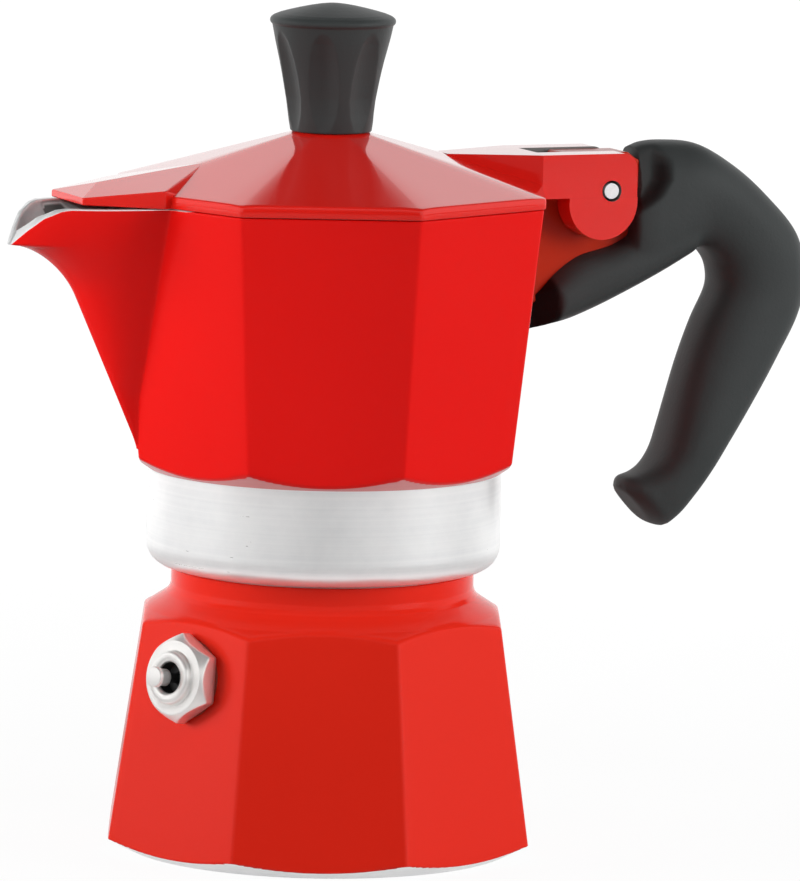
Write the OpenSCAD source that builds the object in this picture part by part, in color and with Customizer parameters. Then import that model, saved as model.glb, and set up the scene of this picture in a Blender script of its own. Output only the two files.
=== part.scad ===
// Stovetop moka pot: octagonal boiler, screwed collector with spout, hinged lid, knob and handle.
// Units are mm, +Z is up, the origin is on the pot's axis in the plane of the base.
// +X points to the handle and -X to the spout. The octagon's corners lie on the X and Y axes.

/* [Node] */
// part to draw; "all" draws the whole pot

/* [Boiler] */
// radius of the flat ring it stands on
base_r = 30; // [28:0.1:31]
// height of the turned chamfer above the base
base_h = 2.4; // [1.5:0.1:3.5]
// how far its widest corner stays inside the collector's rim
boiler_inset = 0.31; // [0:0.01:1]
// corner radius of the octagon at the shoulder
shoulder_r = 29.54; // [29:0.01:30]
// height of the shoulder, where the turned flare starts
shoulder_z = 35.7; // [34:0.1:37]
// radius of the plain neck
neck_r = 23.2; // [22.8:0.1:24]
// outer radius of the screwed neck
thread_r = 22.0; // [21.5:0.05:22.1]
// height of the neck's top face
neck_z = 52.4; // [51:0.1:53]
// bore radius of the neck
neck_bore_r = 19.4; // [18.5:0.1:19.8]
// thickness of the boiler's floor
floor_t = 3.2; // [2.5:0.1:4]
// wall between the widest facet and the water space at the floor
tank_wall = 3.45; // [2.8:0.05:4.5]
// water space radius under the shoulder
tank_top_r = 24.0; // [22:0.1:24.5]

/* [Valve] */
// height at which the valve's axis leaves the facet
valve_z = 28.5; // [24:0.1:30]
// distance across the flats of the hexagon
hex_af = 12; // [10:0.1:13]
// thickness of the sealing washer
washer_t = 0.5; // [0.3:0.1:1]
// distance from the facet to the hexagon's front
hex_front = 3.6; // [2.8:0.1:4]
// distance from the facet to the guard ring's front
ring_front = 4.75; // [4.4:0.05:5.2]
// outer radius of the guard ring
ring_r = 4.05; // [3.6:0.05:4.3]
// radius of the valve's bore
valve_bore_r = 2.35; // [2.1:0.05:2.6]
// radius of the screwed shank
shank_r = 4.4; // [4:0.05:4.6]
// length of the shank behind the facet
shank_l = 6; // [5:0.1:7]
// radius of the pin's outer end
valve_head_r = 1.57; // [1.3:0.01:1.8]
// distance from the facet to the pin's outer face
valve_head_front = 7.75; // [6.5:0.05:8.5]
// travel of the pin
valve_travel = 1.5; // [1:0.1:1.6]
// wire radius of the spring
wire_r = 0.22; // [0.15:0.01:0.25]
// coils of the spring
coils = 3.5; // [2.5:0.5:4]

/* [Funnel and filter] */
// outer radius of the coffee cup
cup_r = 18.9; // [18:0.1:19.1]
// sheet thickness of the cup
cup_t = 0.7; // [0.5:0.1:1]
// depth of the cup below its flange
cup_h = 13.8; // [12:0.1:15]
// outer radius of the flange
flange_r = 21.6; // [20.5:0.1:21.9]
// outer radius of the stem
stem_r = 3.9; // [3.5:0.1:4.2]
// height of the stem's open lower end
stem_z = 6; // [5:0.1:8]
// radius of a hole in the funnel's disc
sieve_hole_r = 0.75; // [0.5:0.05:0.8]
// spacing of the holes in the funnel's disc
sieve_pitch = 3.4; // [3:0.1:4]
// thickness of the gasket
gasket_t = 2.6; // [2:0.1:2.6]
// inner radius of the gasket
gasket_bore_r = 17.2; // [16:0.1:18]
// thickness of the filter plate
plate_t = 0.6; // [0.4:0.1:0.8]
// outer radius of the filter plate
plate_r = 21.6; // [20:0.1:22]
// radius of a hole in the filter plate
plate_hole_r = 0.5; // [0.35:0.05:0.6]

/* [Collector] */
// outer radius of the round collar
collar_r = 27.1; // [26.5:0.1:27.3]
// height of the collar's lower edge
collar_z = 43.4; // [42:0.1:44]
// rounding of the collar's lower edge
collar_round = 3.4; // [1:0.1:3.6]
// height of the collar's top edge
collar_top_z = 58.4; // [58.2:0.1:58.6]
// bore radius of the screwed collar
collar_bore_r = 22.3; // [22.15:0.05:22.6]
// corner radius of the octagon at the rim
rim_r = 35.0; // [34.8:0.1:35.1]
// height of the rim
rim_z = 100; // [99.9:0.1:100]
// growth of the corner radius with height
side_slope = 0.1103; // [0.1:0.001:0.12]
// wall thickness, measured at the corners
wall_t = 2.8; // [2.2:0.1:3]
// height of the inside floor
cup_floor_z = 61.9; // [61:0.1:63]
// radius of the column at its foot
column_low_r = 7; // [6:0.1:8]
// radius of the column under its cap
column_top_r = 4.6; // [4.4:0.1:5]
// height of the column's top
column_z = 88; // [84:0.5:92]
// radius of the channel in the column
channel_r = 3.1; // [3:0.05:3.2]
// width of the two windows under the column's cap
window_w = 4.5; // [4.2:0.1:4.8]
// height of the two windows
window_h = 5; // [4.2:0.1:6]

/* [Spout] */
// half-width of the spout at the rim
spout_half = 10.75; // [10:0.05:11.5]
// narrowing of the half-width with depth
spout_taper = 0.325; // [0.3:0.005:0.33]
// reach of the lip past the rim's corner
lip_out = 17.6; // [16:0.1:19]
// wall thickness of the spout
spout_t = 2.1; // [1.8:0.1:2.4]

/* [Hinge] */
// distance of the hinge pin outside the rim's corner
pin_out = 8.8; // [8.5:0.1:9]
// height of the hinge pin
pin_z = 100.7; // [100.5:0.1:101]
// radius of the hinge pin
pin_r = 1.2; // [1:0.05:1.3]
// half-width of the hinge block
block_half = 8; // [7:0.1:8.5]
// height of the block's top face
block_z = 106.45; // [106:0.05:107]
// distance from the pin to the block's round end
block_end = 4.3; // [3.8:0.1:4.5]
// half-width of the slot in the block
slot_half = 3.5; // [3:0.1:4]
// gap on each side of the collector's tang
tang_gap = 0.25; // [0.15:0.05:0.4]
// radius of the round lug under the block
lug_r = 5.75; // [5:0.05:5.9]

/* [Lid] */
// how far the lid's edge stands past the rim's corner
lid_over = 0.29; // [0:0.01:0.6]
// reach of the beak past the rim's corner
beak_out = 8; // [7:0.1:9]
// half-width of the beak where it leaves the roof
beak_half = 11.7; // [11:0.1:12]
// height of the lid's underside
lid_z = 100.1; // [100.05:0.01:100.2]
// height of the edge's upper line
lid_edge_z = 101.9; // [101.5:0.1:102.2]
// corner radius of the small flat under the knob
lid_top_r = 6.4; // [6.1:0.1:7]
// height of that flat
lid_top_z = 109.9; // [109:0.1:110]
// sheet thickness of the roof, measured upright
lid_t = 2.0; // [1.5:0.1:2.4]

/* [Knob] */
// height of the knob's foot
knob_z = 110.2; // [110:0.05:110.3]
// radius of the knob's foot
knob_foot_r = 6.25; // [5.9:0.01:6.3]
// widest radius of the knob
knob_r = 9.6; // [9.2:0.05:9.9]
// height of the knob's top
knob_top_z = 129.7; // [129:0.1:130.5]
// number of flutes
flutes = 7; // [4:1:8]
// radius of each flute across
flute_r = 3.3; // [2.8:0.1:4]
// radius of each flute's curve along the knob
flute_sweep = 35.6; // [29.6:0.1:43.6]
// depth of the flutes at their middle
flute_depth = 0.76; // [0.4:0.02:0.9]
// radius of the screw's shank
screw_r = 1.95; // [1.5:0.05:2]

/* [Handle] */
// distance from the hinge pin to the handle's outermost face
handle_reach = 36.1; // [34:0.1:38]
// half-thickness of the grip
grip_half = 7.5; // [6.5:0.1:8]
// half-thickness of the arm next to the pot
arm_half = 6.8; // [6:0.1:7.5]
// clearance between the bracket's tail and the handle
tail_gap = 0.05; // [0.02:0.01:0.1]

/* [Hidden] */
facet_c = cos(22.5);
boiler_r = rim_r - boiler_inset;
tank_low_r = boiler_r * facet_c - tank_wall;
lip_x = rim_r + lip_out;
pin_x = rim_r + pin_out;
block_x = pin_x + block_end;
lid_r = rim_r + lid_over;
beak_x = rim_r + beak_out;
unit = handle_reach / 36.1;
boiler_slope = (boiler_r - shoulder_r) / (shoulder_z - base_h);
valve_tilt = atan(boiler_slope * facet_c);
valve_d = (boiler_r - boiler_slope * (valve_z - base_h)) * facet_c;
valve_turn = -157.5;
seat = -3.5;
pin_disc = seat + 0.6;
spring_low = pin_disc + 0.9;
retainer_z = spring_low + 2 * wire_r * coils + valve_travel + 0.45;
gasket_z = neck_z + 0.8;
plate_z = gasket_z + gasket_t;
room_z = plate_z + plate_t;
tank_top_z = shoulder_z - 1.7;
lid_slope = (lid_top_z - lid_edge_z) / (lid_r - lid_top_r);
pin_fit = 0.05;
red = [0.78, 0.09, 0.06];
bare = [0.78, 0.78, 0.79];
dark = [0.16, 0.16, 0.17];
steel = [0.7, 0.7, 0.72];

// Corner radius of the collector's octagon at a height.
function side_r(z) = rim_r - side_slope * (rim_z - z);

// Places its children on the valve's axis, with +Z out of the facet and the facet plane at 0.
module on_valve() {
    translate([valve_d * cos(valve_turn), valve_d * sin(valve_turn), valve_z])
        rotate([0, 90 - valve_tilt, valve_turn])
            children();
}

// Ring or tube about +Z between two heights.
module tube(z0, z1, r_out, r_in) {
    difference() {
        translate([0, 0, z0]) cylinder(h = z1 - z0, r = r_out, $fn = 96);
        translate([0, 0, z0 - 1]) cylinder(h = z1 - z0 + 2, r = r_in, $fn = 96);
    }
}

// Octagonal frustum between two heights, from one corner radius to another.
module octagon(z0, z1, r0, r1) {
    translate([0, 0, z0]) cylinder(h = z1 - z0, r1 = r0, r2 = r1, $fn = 8);
}

// Cast aluminium boiler: eight tapered facets, turned base chamfer, turned flare and neck.
module boiler() {
    wide = boiler_r + 2.31;
    color(red)
    difference() {
        union() {
            intersection() {
                octagon(0, shoulder_z + 3.3, boiler_r + boiler_slope * base_h,
                        shoulder_r - boiler_slope * 3.3);
                rotate_extrude($fn = 128)
                    polygon([[0, 0], [base_r, 0], [wide, (wide - base_r) * base_h / (boiler_r - base_r)],
                             [wide, shoulder_z - (wide - shoulder_r) / 1.913],
                             [shoulder_r, shoulder_z], [shoulder_r - 2.44, shoulder_z + 1.2],
                             [neck_r + 2.8, shoulder_z + 1.85], [neck_r + 1.4, shoulder_z + 2.7],
                             [neck_r + 0.8, shoulder_z + 3.3], [0, shoulder_z + 3.3]]);
            }
            rotate_extrude($fn = 128)
                polygon([[0, shoulder_z + 1.3], [neck_r + 0.7, shoulder_z + 1.3],
                         [neck_r + 1.4, shoulder_z + 2.7], [neck_r + 0.4, shoulder_z + 3.7],
                         [neck_r, shoulder_z + 4.9], [neck_r, collar_z - 0.4],
                         [thread_r, collar_z - 0.3], [thread_r, neck_z - 0.6],
                         [thread_r - 0.4, neck_z], [0, neck_z]]);
        }
        rotate_extrude($fn = 128)
            polygon([[0, floor_t], [tank_low_r - 2, floor_t], [tank_low_r, floor_t + 2],
                     [tank_top_r, tank_top_z], [neck_bore_r, tank_top_z + 4],
                     [neck_bore_r, neck_z + 1], [0, neck_z + 1]]);
        on_valve() translate([0, 0, -9]) cylinder(h = 14, r = shank_r + pin_fit, $fn = 64);
    }
}

// Nickel-plated brass valve body: chamfered hexagon, guard ring and screwed shank, bored through.
module valve_body() {
    corner = hex_af / sqrt(3);
    face = hex_af / 2 - 0.35;
    color(steel) on_valve()
    difference() {
        union() {
            intersection() {
                translate([0, 0, washer_t]) rotate([0, 0, 34])
                    cylinder(h = hex_front - washer_t, r = corner, $fn = 6);
                rotate_extrude($fn = 96)
                    polygon([[0, 0], [corner + 0.2, 0],
                             [corner + 0.2, hex_front - (corner + 0.2 - face) / 0.8],
                             [face, hex_front], [0, hex_front]]);
            }
            translate([0, 0, 1]) cylinder(h = ring_front - 1, r = ring_r, $fn = 96);
            translate([0, 0, -shank_l]) cylinder(h = shank_l + 1, r = shank_r, $fn = 96);
        }
        translate([0, 0, seat]) cylinder(h = 20, r = valve_bore_r, $fn = 64);
        translate([0, 0, -20]) cylinder(h = 20, r = 1.2, $fn = 48);
    }
}

// Flat fibre washer under the hexagon.
module valve_washer() {
    color([0.55, 0.2, 0.15]) on_valve() tube(0, washer_t, 6.0, shank_r + pin_fit);
}

// Brass pin: disc over the seat, thin stem through the spring, thicker outer end.
module valve_pin() {
    color(steel) on_valve() rotate_extrude($fn = 64)
        polygon([[0, pin_disc], [valve_bore_r - 0.07, pin_disc], [valve_bore_r - 0.07, spring_low],
                 [1, spring_low], [1, retainer_z + 0.8], [valve_head_r, retainer_z + 1.1],
                 [valve_head_r, valve_head_front - 0.15], [valve_head_r - 0.15, valve_head_front],
                 [0, valve_head_front]]);
}

// Rubber disc that the pin presses on the seat.
module valve_seal() {
    color(dark) on_valve() translate([0, 0, seat]) cylinder(h = pin_disc - seat, r = 1.9, $fn = 64);
}

// Wire spring between the pin's disc and the retainer.
module valve_spring() {
    mean = 1.7;
    steps = round(coils * 16);
    rise = retainer_z - spring_low - 2 * wire_r - 0.04;
    pts = [for (i = [0:steps]) for (j = [0:5])
        let (a = 360 * coils * i / steps, b = 60 * j, r = mean + wire_r * cos(b))
        [r * cos(a), r * sin(a), wire_r + 0.02 + spring_low + rise * i / steps + wire_r * sin(b)]];
    sides = [for (i = [0:steps - 1]) for (j = [0:5])
        [6 * i + j, 6 * i + (j + 1) % 6, 6 * i + 6 + (j + 1) % 6, 6 * i + 6 + j]];
    caps = [[5, 4, 3, 2, 1, 0], [for (j = [0:5]) 6 * steps + j]];
    color(steel) on_valve() polyhedron(points = pts, faces = concat(sides, caps), convexity = 8);
}

// Steel ring pressed into the bore to hold the spring.
module valve_retainer() {
    color(steel) on_valve() tube(retainer_z, retainer_z + 0.6, valve_bore_r, 1.12);
}

// Drawn aluminium coffee cup with a flange that hangs on the boiler's neck.
module funnel_cup() {
    low = neck_z - cup_h;
    color(bare) rotate_extrude($fn = 128)
        polygon([[flange_r, neck_z], [flange_r, neck_z + 0.8], [cup_r - cup_t, neck_z + 0.8],
                 [cup_r - cup_t, low + 1.6], [cup_r - cup_t - 0.8, low + 1.6],
                 [stem_r + 0.1, low - 1.4], [stem_r + 0.1, low - 5], [stem_r + 0.8, low - 5],
                 [stem_r + 0.8, low - 2.3], [cup_r - 0.8, low + 0.6], [cup_r, low + 1.4],
                 [cup_r, neck_z]]);
}

// Aluminium tube that dips into the water.
module funnel_stem() {
    low = neck_z - cup_h;
    color(bare) rotate_extrude($fn = 64)
        polygon([[stem_r, low - 1.2], [stem_r, stem_z + 6], [stem_r - 0.3, stem_z],
                 [stem_r - 0.9, stem_z], [stem_r - 0.7, stem_z + 6], [stem_r - 0.7, low - 1.2]]);
}

// Perforated disc that carries the ground coffee.
module funnel_disc() {
    z = neck_z - cup_h + 1.6;
    color(bare) difference() {
        translate([0, 0, z]) cylinder(h = 0.6, r = cup_r - cup_t - 0.03, $fn = 96);
        for (i = [-5:5]) for (j = [-5:5])
            if (norm([i + j / 2, j * 0.866]) * sieve_pitch < cup_r - 4)
                translate([(i + j / 2) * sieve_pitch, j * 0.866 * sieve_pitch, z - 1])
                    cylinder(h = 3, r = sieve_hole_r, $fn = 6);
    }
}

// Rubber sealing ring between the boiler's neck and the collector.
module gasket() {
    color([0.86, 0.84, 0.8]) tube(gasket_z, plate_z, 22.1, gasket_bore_r);
}

// Perforated aluminium plate held up by the gasket.
module filter_plate() {
    color(bare) difference() {
        translate([0, 0, plate_z]) cylinder(h = plate_t, r = plate_r, $fn = 96);
        for (ring = [1:5])
            for (k = [0:ring * 6 - 1])
                rotate([0, 0, 360 * k / (ring * 6)])
                    translate([ring * 2.9, 0, plate_z - 1])
                        cylinder(h = 3, r = plate_hole_r, $fn = 6);
    }
}

// Half-width of the spout at a height; the narrow ridge below fades into the corner.
function spout_w(z) = max(spout_half - spout_taper * (rim_z - z), 0.133 * (z - 62.4));

// Reach of the spout's keel at a height: a straight slope that flares out to the lip.
function keel_x(z) =
    let (t = min(max((z - 86) / 8.05, 0), 1))
    min(rim_r - 4 + 0.447 * (z - 62.8) + 7.5 * (1 - sqrt(1 - t * t)), lip_x);

// Loft of V-shaped sections. Inset is the wall taken off; back is how far it runs inwards.
module spout_loft(levels, inset, back) {
    k = 8;
    n = 2 * k + 3;
    pts = [for (z = levels) let (
            w = max(spout_w(z) - inset, 0.05),
            xb = side_r(z) - 0.4142 * w - inset * 0.6,
            xk = max(keel_x(z) - inset * 1.09, xb + 0.1))
        for (i = [0:n - 1])
            i == n - 2 ? [-(xb - back), w, z] : i == n - 1 ? [-(xb - back), -w, z] :
            let (s = (i - k) / k, u = 1 - abs(s), y = w * pow(1 - pow(u, 2.5), 0.65))
            [-(xb + u * (xk - xb)), (s < 0 ? -y : y), z]];
    m = len(levels);
    sides = [for (a = [0:m - 2]) for (b = [0:n - 1])
        for (f = [[a * n + b, a * n + (b + 1) % n, a * n + n + b],
                  [a * n + (b + 1) % n, a * n + n + (b + 1) % n, a * n + n + b]]) f];
    caps = [[for (b = [0:n - 1]) n - 1 - b], [for (b = [0:n - 1]) (m - 1) * n + b]];
    polyhedron(points = pts, faces = concat(sides, caps), convexity = 6);
}

// Side view of the collector's hinge bracket: web, tang round the pin and tail for the handle.
module bracket_shape() {
    shape = [[-11.4, -17.7], [-9.6, -17.1], [-3.8, -13.7], [2.2, -11.7], [8.2, -9.9],
             [16.2, -5.7], [16.2, 1.7], [8.2, 3.3], [5.8, 4.7], [4.8, 5.5], [-5.8, 5.5],
             [-6.8, 4.5], [-6.8, 0.7], [-8.2, -0.8], [-11.2, -0.8]];
    polygon([for (p = shape) [pin_x + p[0] * unit, pin_z + p[1] * unit]]);
}

// Bracket shape as a plate of the given half-thickness about the XZ plane.
module bracket_plate(half) {
    translate([0, half, 0]) rotate([90, 0, 0]) linear_extrude(height = 2 * half) children();
}

// Cast collector: screwed collar, octagonal walls, spout, coffee column and hinge bracket.
module collector() {
    steps = [62.6, 65, 68, 70, 74, 78, 82, 86, 88, 90, 91.5, 92.6, 93.4, 94.05, 97, rim_z];
    inner = [76, 79, 82, 86, 88, 90, 91.5, 92.6, 93.4, 94.05, 97, rim_z + 0.5];
    foot = side_r(cup_floor_z) - wall_t - 4.5;
    color(red)
    difference() {
        union() {
            rotate_extrude($fn = 128)
                polygon(concat([[0, collar_z]],
                    [for (a = [0:15:90]) [collar_r - collar_round + collar_round * sin(a),
                                          collar_z + collar_round - collar_round * cos(a)]],
                    [[collar_r, collar_top_z], [0, collar_top_z]]));
            intersection() {
                octagon(collar_top_z - 1.4, rim_z, side_r(collar_top_z - 1.4), rim_r);
                rotate_extrude($fn = 128)
                    polygon([[0, collar_top_z - 1.4], [collar_r - 1, collar_top_z - 1.4],
                             [collar_r - 1, collar_top_z], [collar_r, collar_top_z],
                             [collar_r + 13, collar_top_z + 8.8], [collar_r + 13, rim_z],
                             [0, rim_z]]);
            }
            spout_loft(steps, 0, 1.5);
            bracket_plate(slot_half - tang_gap) bracket_shape();
        }
        difference() {
            union() {
                intersection() {
                    octagon(cup_floor_z, rim_z + 1, side_r(cup_floor_z) - wall_t,
                            side_r(rim_z + 1) - wall_t);
                    rotate_extrude($fn = 96)
                        polygon([[0, cup_floor_z], [foot, cup_floor_z], [foot + 2.1, cup_floor_z + 0.8],
                                 [foot + 3.5, cup_floor_z + 2.2], [foot + 10.5, cup_floor_z + 12],
                                 [foot + 16.5, rim_z + 2], [0, rim_z + 2]]);
                }
                spout_loft(inner, spout_t, 4);
                translate([-lip_x - 17.4, -20, 0]) rotate([90, 0, 0]) mirror([0, 0, 1])
                    linear_extrude(height = 40)
                        polygon([[24, 100.3], [23.4, 99.8], [21.2, 98.5], [19.4, 96.4],
                                 [17.3, 93.7], [10, 93], [10, 106], [24, 106]]);
            }
            rotate_extrude($fn = 96)
                polygon([[0, 60], [column_low_r, 60], [column_low_r, cup_floor_z + 0.4],
                         [column_low_r - 0.8, cup_floor_z + 3], [column_top_r, column_z - 3],
                         [column_top_r - 0.5, column_z - 1.2], [column_top_r - 1.6, column_z - 0.3],
                         [0, column_z]]);
        }
        rotate_extrude($fn = 128)
            polygon([[0, collar_z - 1], [collar_bore_r + 0.6, collar_z - 1],
                     [collar_bore_r + 0.6, collar_z + 0.4], [collar_bore_r, collar_z + 1],
                     [collar_bore_r, room_z], [17, room_z], [channel_r, room_z + 2.6],
                     [channel_r, column_z - 2.6], [0, column_z - 1.8]]);
        translate([-window_w / 2, -10, column_z - 3 - window_h]) cube([window_w, 20, window_h]);
        translate([pin_x, 20, pin_z]) rotate([90, 0, 0]) cylinder(h = 40, r = pin_r, $fn = 48);
    }
}

// Steel hinge pin, tight in the tang and loose in the lid's cheeks.
module hinge_pin() {
    long = block_half - 0.2;
    color(steel) translate([pin_x, long, pin_z]) rotate([90, 0, 0])
        cylinder(h = 2 * long, r = pin_r, $fn = 48);
}

// Loft through stations [inner x, inner z, outer x, outer z, half-thickness], rounded all round.
// Stations are measured from the hinge pin.
module bar_loft(stations, size) {
    n = 20;
    pts = [for (s = stations) for (i = [0:n - 1])
        let (a = 360 * i / n, c = cos(a), d = sin(a),
             p = sign(c) * pow(abs(c), 0.72), q = sign(d) * pow(abs(d), 0.72))
        [pin_x + size * ((s[0] + s[2]) + p * (s[2] - s[0])) / 2, q * s[4],
         pin_z + size * ((s[1] + s[3]) + p * (s[3] - s[1])) / 2]];
    m = len(stations);
    sides = [for (a = [0:m - 2]) for (b = [0:n - 1])
        for (f = [[a * n + b, a * n + n + b, a * n + (b + 1) % n],
                  [a * n + (b + 1) % n, a * n + n + b, a * n + n + (b + 1) % n]]) f];
    caps = [[for (b = [0:n - 1]) b], [for (b = [0:n - 1]) m * n - 1 - b]];
    polyhedron(points = pts, faces = concat(sides, caps), convexity = 8);
}

// Moulded phenolic handle: curved grip, nose beside the hinge and arm against the pot.
module handle() {
    g = grip_half;
    color(dark)
    difference() {
        union() {
            bar_loft([[5.6, -47.1, 10.6, -52.8, g * 0.45], [6.3, -45.8, 12.4, -53.4, g * 0.72],
                      [8.5, -45.1, 14.4, -52.3, g * 0.84], [10.9, -43.8, 17.7, -48.5, g * 0.93],
                      [12.5, -41.5, 20.5, -44.7, g * 0.97], [13.7, -37.7, 23.2, -40.6, g],
                      [14.6, -34.1, 26.4, -35.7, g], [16.5, -27.3, 31.7, -26.8, g],
                      [18.7, -21.4, 35.3, -19.6, g], [21.1, -16.4, 36.1, -13.9, g],
                      [21, -13.5, 34.4, -7.7, g], [20.1, -11.6, 29.2, -1.8, g],
                      [18.6, -10.2, 23.3, 3.1, g], [17.2, -9.9, 17.6, 6.3, g],
                      [14.6, -11.4, 12.7, 6.9, g], [11.2, -13.4, 8.6, 6.7, g],
                      [8.6, -14.7, 7.1, 5.9, g * 0.96]], unit);
            bar_loft([[16.5, -10.5, 13.7, -2.7, g * 0.9], [11.2, -13.4, 8.1, -5.3, arm_half],
                      [5.4, -16.2, 2.4, -8.5, arm_half], [-1.1, -19.1, -4, -10.4, arm_half],
                      [-5.1, -20.5, -7.2, -12.7, arm_half], [-9.2, -21.3, -10.2, -15.8, arm_half],
                      [-14.3, -22.5, -14.5, -18.9, arm_half]], unit);
        }
        octagon(70, 99, side_r(70) + 0.05, side_r(99) + 0.05);
        bracket_plate(slot_half - tang_gap + tail_gap) offset(delta = tail_gap) bracket_shape();
        translate([pin_x, 20, pin_z]) rotate([90, 0, 0]) cylinder(h = 40, r = 7.05, $fn = 64);
    }
}

// Side view of the lid's hinge block: flat top, rounded end and round lug below.
module block_shape() {
    end_r = 2.5;
    union() {
        polygon([[pin_x - 28.8, pin_z + 0.5], [block_x, pin_z + 0.5], [block_x, block_z - end_r],
                 [block_x - end_r, block_z - end_r], [block_x - end_r, block_z],
                 [pin_x - 28.8, block_z]]);
        translate([block_x - end_r, block_z - end_r]) circle(r = end_r, $fn = 48);
        polygon([[pin_x - 9.8, pin_z - 1], [block_x, pin_z - 1], [block_x, pin_z + 0.6],
                 [pin_x - 9.8, pin_z + 0.6]]);
        translate([block_x - lug_r, pin_z - 1.75]) circle(r = lug_r, $fn = 64);
    }
}

// Cast lid: octagonal roof, beak over the spout and split hinge block.
module lid() {
    in_r = lid_r - 2.1;
    b = beak_x;
    w = beak_half;
    e = beak_half - 5.2;
    z = lid_z;
    beak = [[22.5 - b, 0, z + 5.7], [4.9 - b, 0, z + 3.1], [-b, -e, z + 1.4], [-b, e, z + 1.4],
            [-b, -e, z + 0.3], [-b, e, z + 0.3], [11.3 - b, -w, z + 2.7], [11.3 - b, w, z + 2.7],
            [11.3 - b, -w, z], [11.3 - b, w, z], [21 - b, 3.7 - w, z], [21 - b, w - 3.7, z]];
    under = [[23 - b, 0, z + 3.5], [6 - b, 0, z + 1.8], [1.6 - b, 1.9 - e, z + 0.8],
             [1.6 - b, e - 1.9, z + 0.8], [1.4 - b, 1.9 - e, z - 1], [1.4 - b, e - 1.9, z - 1],
             [12.4 - b, 2.1 - w, z + 1.1], [12.4 - b, w - 2.1, z + 1.1],
             [12.4 - b, 2.1 - w, z - 1], [12.4 - b, w - 2.1, z - 1],
             [23 - b, 3.7 - w, z - 1], [23 - b, w - 3.7, z - 1]];
    color(red)
    difference() {
        union() {
            octagon(lid_z, lid_edge_z, lid_r, lid_r);
            octagon(lid_edge_z, lid_top_z, lid_r, lid_top_r);
            translate([0, 0, lid_top_z - 1])
                cylinder(h = knob_z - lid_top_z + 1, r = knob_foot_r - 0.12, $fn = 96);
            hull() polyhedron(points = beak, faces = [[0, 1, 2], [3, 4, 5], [6, 7, 8], [9, 10, 11]]);
            intersection() {
                bracket_plate(block_half) block_shape();
                translate([0, 0, pin_z - 10]) linear_extrude(height = 20)
                    polygon([[pin_x - 25.3, -2.2], [pin_x - 25.3, 2.2], [pin_x - 11.3, block_half],
                             [pin_x + 10, block_half], [pin_x + 10, -block_half],
                             [pin_x - 11.3, -block_half]]);
            }
        }
        difference() {
            union() {
                octagon(lid_z - 1, lid_z + 0.4, in_r, in_r);
                octagon(lid_z + 0.4, lid_top_z - lid_t, in_r, lid_top_r + 0.8);
            }
            translate([0, 0, lid_top_z - 3.4]) cylinder(h = 8, r = 6, $fn = 64);
        }
        hull() polyhedron(points = under, faces = [[0, 1, 2], [3, 4, 5], [6, 7, 8], [9, 10, 11]]);
        translate([pin_x - 10.8, -slot_half, pin_z - 10]) cube([40, 2 * slot_half, 20]);
        translate([pin_x, 20, pin_z]) rotate([90, 0, 0])
            cylinder(h = 40, r = pin_r + pin_fit, $fn = 48);
        for (s = [-1, 1])
            translate([pin_x, s * (block_half + 0.4), pin_z]) rotate([90, 0, 0])
                cylinder(h = 2, r = pin_r + 0.25, center = true, $fn = 48);
        translate([0, 0, lid_top_z - 10]) cylinder(h = 20, r = screw_r + 0.15, $fn = 48);
    }
}

// Moulded phenolic knob with flutes that come to a point under the head.
module knob() {
    r = knob_r;
    z = knob_z;
    h = (knob_top_z - knob_z) / 19.5;
    lean = atan(r * 0.281 / (14.6 * h));
    color(dark)
    difference() {
        rotate_extrude($fn = 96)
            polygon([[0, z], [knob_foot_r, z], [r * 0.677, z + 1.6 * h], [r * 0.719, z + 4.7 * h],
                     [r * 0.776, z + 7.7 * h], [r * 0.842, z + 10.8 * h], [r * 0.915, z + 13.8 * h],
                     [r * 0.958, z + 16.2 * h], [r * 0.984, z + 16.4 * h], [r, z + 16.9 * h],
                     [r * 0.984, z + 17.4 * h], [r * 0.906, z + 17.9 * h], [r * 0.656, z + 18.4 * h],
                     [r * 0.333, z + 18.9 * h], [r * 0.188, z + 19.3 * h], [0, knob_top_z]]);
        for (k = [0:flutes - 1])
            rotate([0, 0, -122.4 + 360 * k / flutes])
                translate([r * 0.778 - flute_depth, 0, z + 7.8 * h])
                    rotate([0, lean, 0]) translate([flute_sweep, 0, 0])
                        rotate([90, 0, 0]) rotate_extrude($fn = 96)
                            translate([flute_sweep - flute_r, 0]) circle(r = flute_r, $fn = 48);
        translate([0, 0, knob_z - 1]) cylinder(h = 1.8, r = 4, $fn = 48);
        translate([0, 0, knob_z + 0.8]) cylinder(h = 9, r = 3.2, $fn = 6);
    }
}

// Brass insert moulded into the knob.
module knob_insert() {
    color([0.72, 0.58, 0.3]) difference() {
        translate([0, 0, knob_z + 0.8]) cylinder(h = 9, r = 3.2, $fn = 6);
        translate([0, 0, knob_z]) cylinder(h = 9, r = screw_r + pin_fit, $fn = 48);
    }
}

// Spring washer under the screw's head, inside the lid.
module knob_washer() {
    z = lid_top_z - 3.4;
    color(steel) tube(z - 0.6, z, 4, screw_r + 0.15);
}

// Pan-head screw that holds the knob from below.
module knob_screw() {
    z = lid_top_z - 4;
    color(steel) difference() {
        union() {
            rotate_extrude($fn = 64)
                polygon([[0, z - 2], [2.6, z - 2], [3.5, z - 1.3], [3.5, z], [screw_r, z],
                         [screw_r, knob_z + 7.6], [screw_r - 0.4, knob_z + 8], [0, knob_z + 8]]);
        }
        translate([-4, -0.4, z - 3]) cube([8, 0.8, 2]);
    }
}

boiler();
valve_body();
valve_washer();
valve_pin();
valve_seal();
valve_spring();
valve_retainer();
funnel_cup();
funnel_stem();
funnel_disc();
gasket();
filter_plate();
collector();
hinge_pin();
handle();
lid();
knob();
knob_insert();
knob_washer();
knob_screw();
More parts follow.
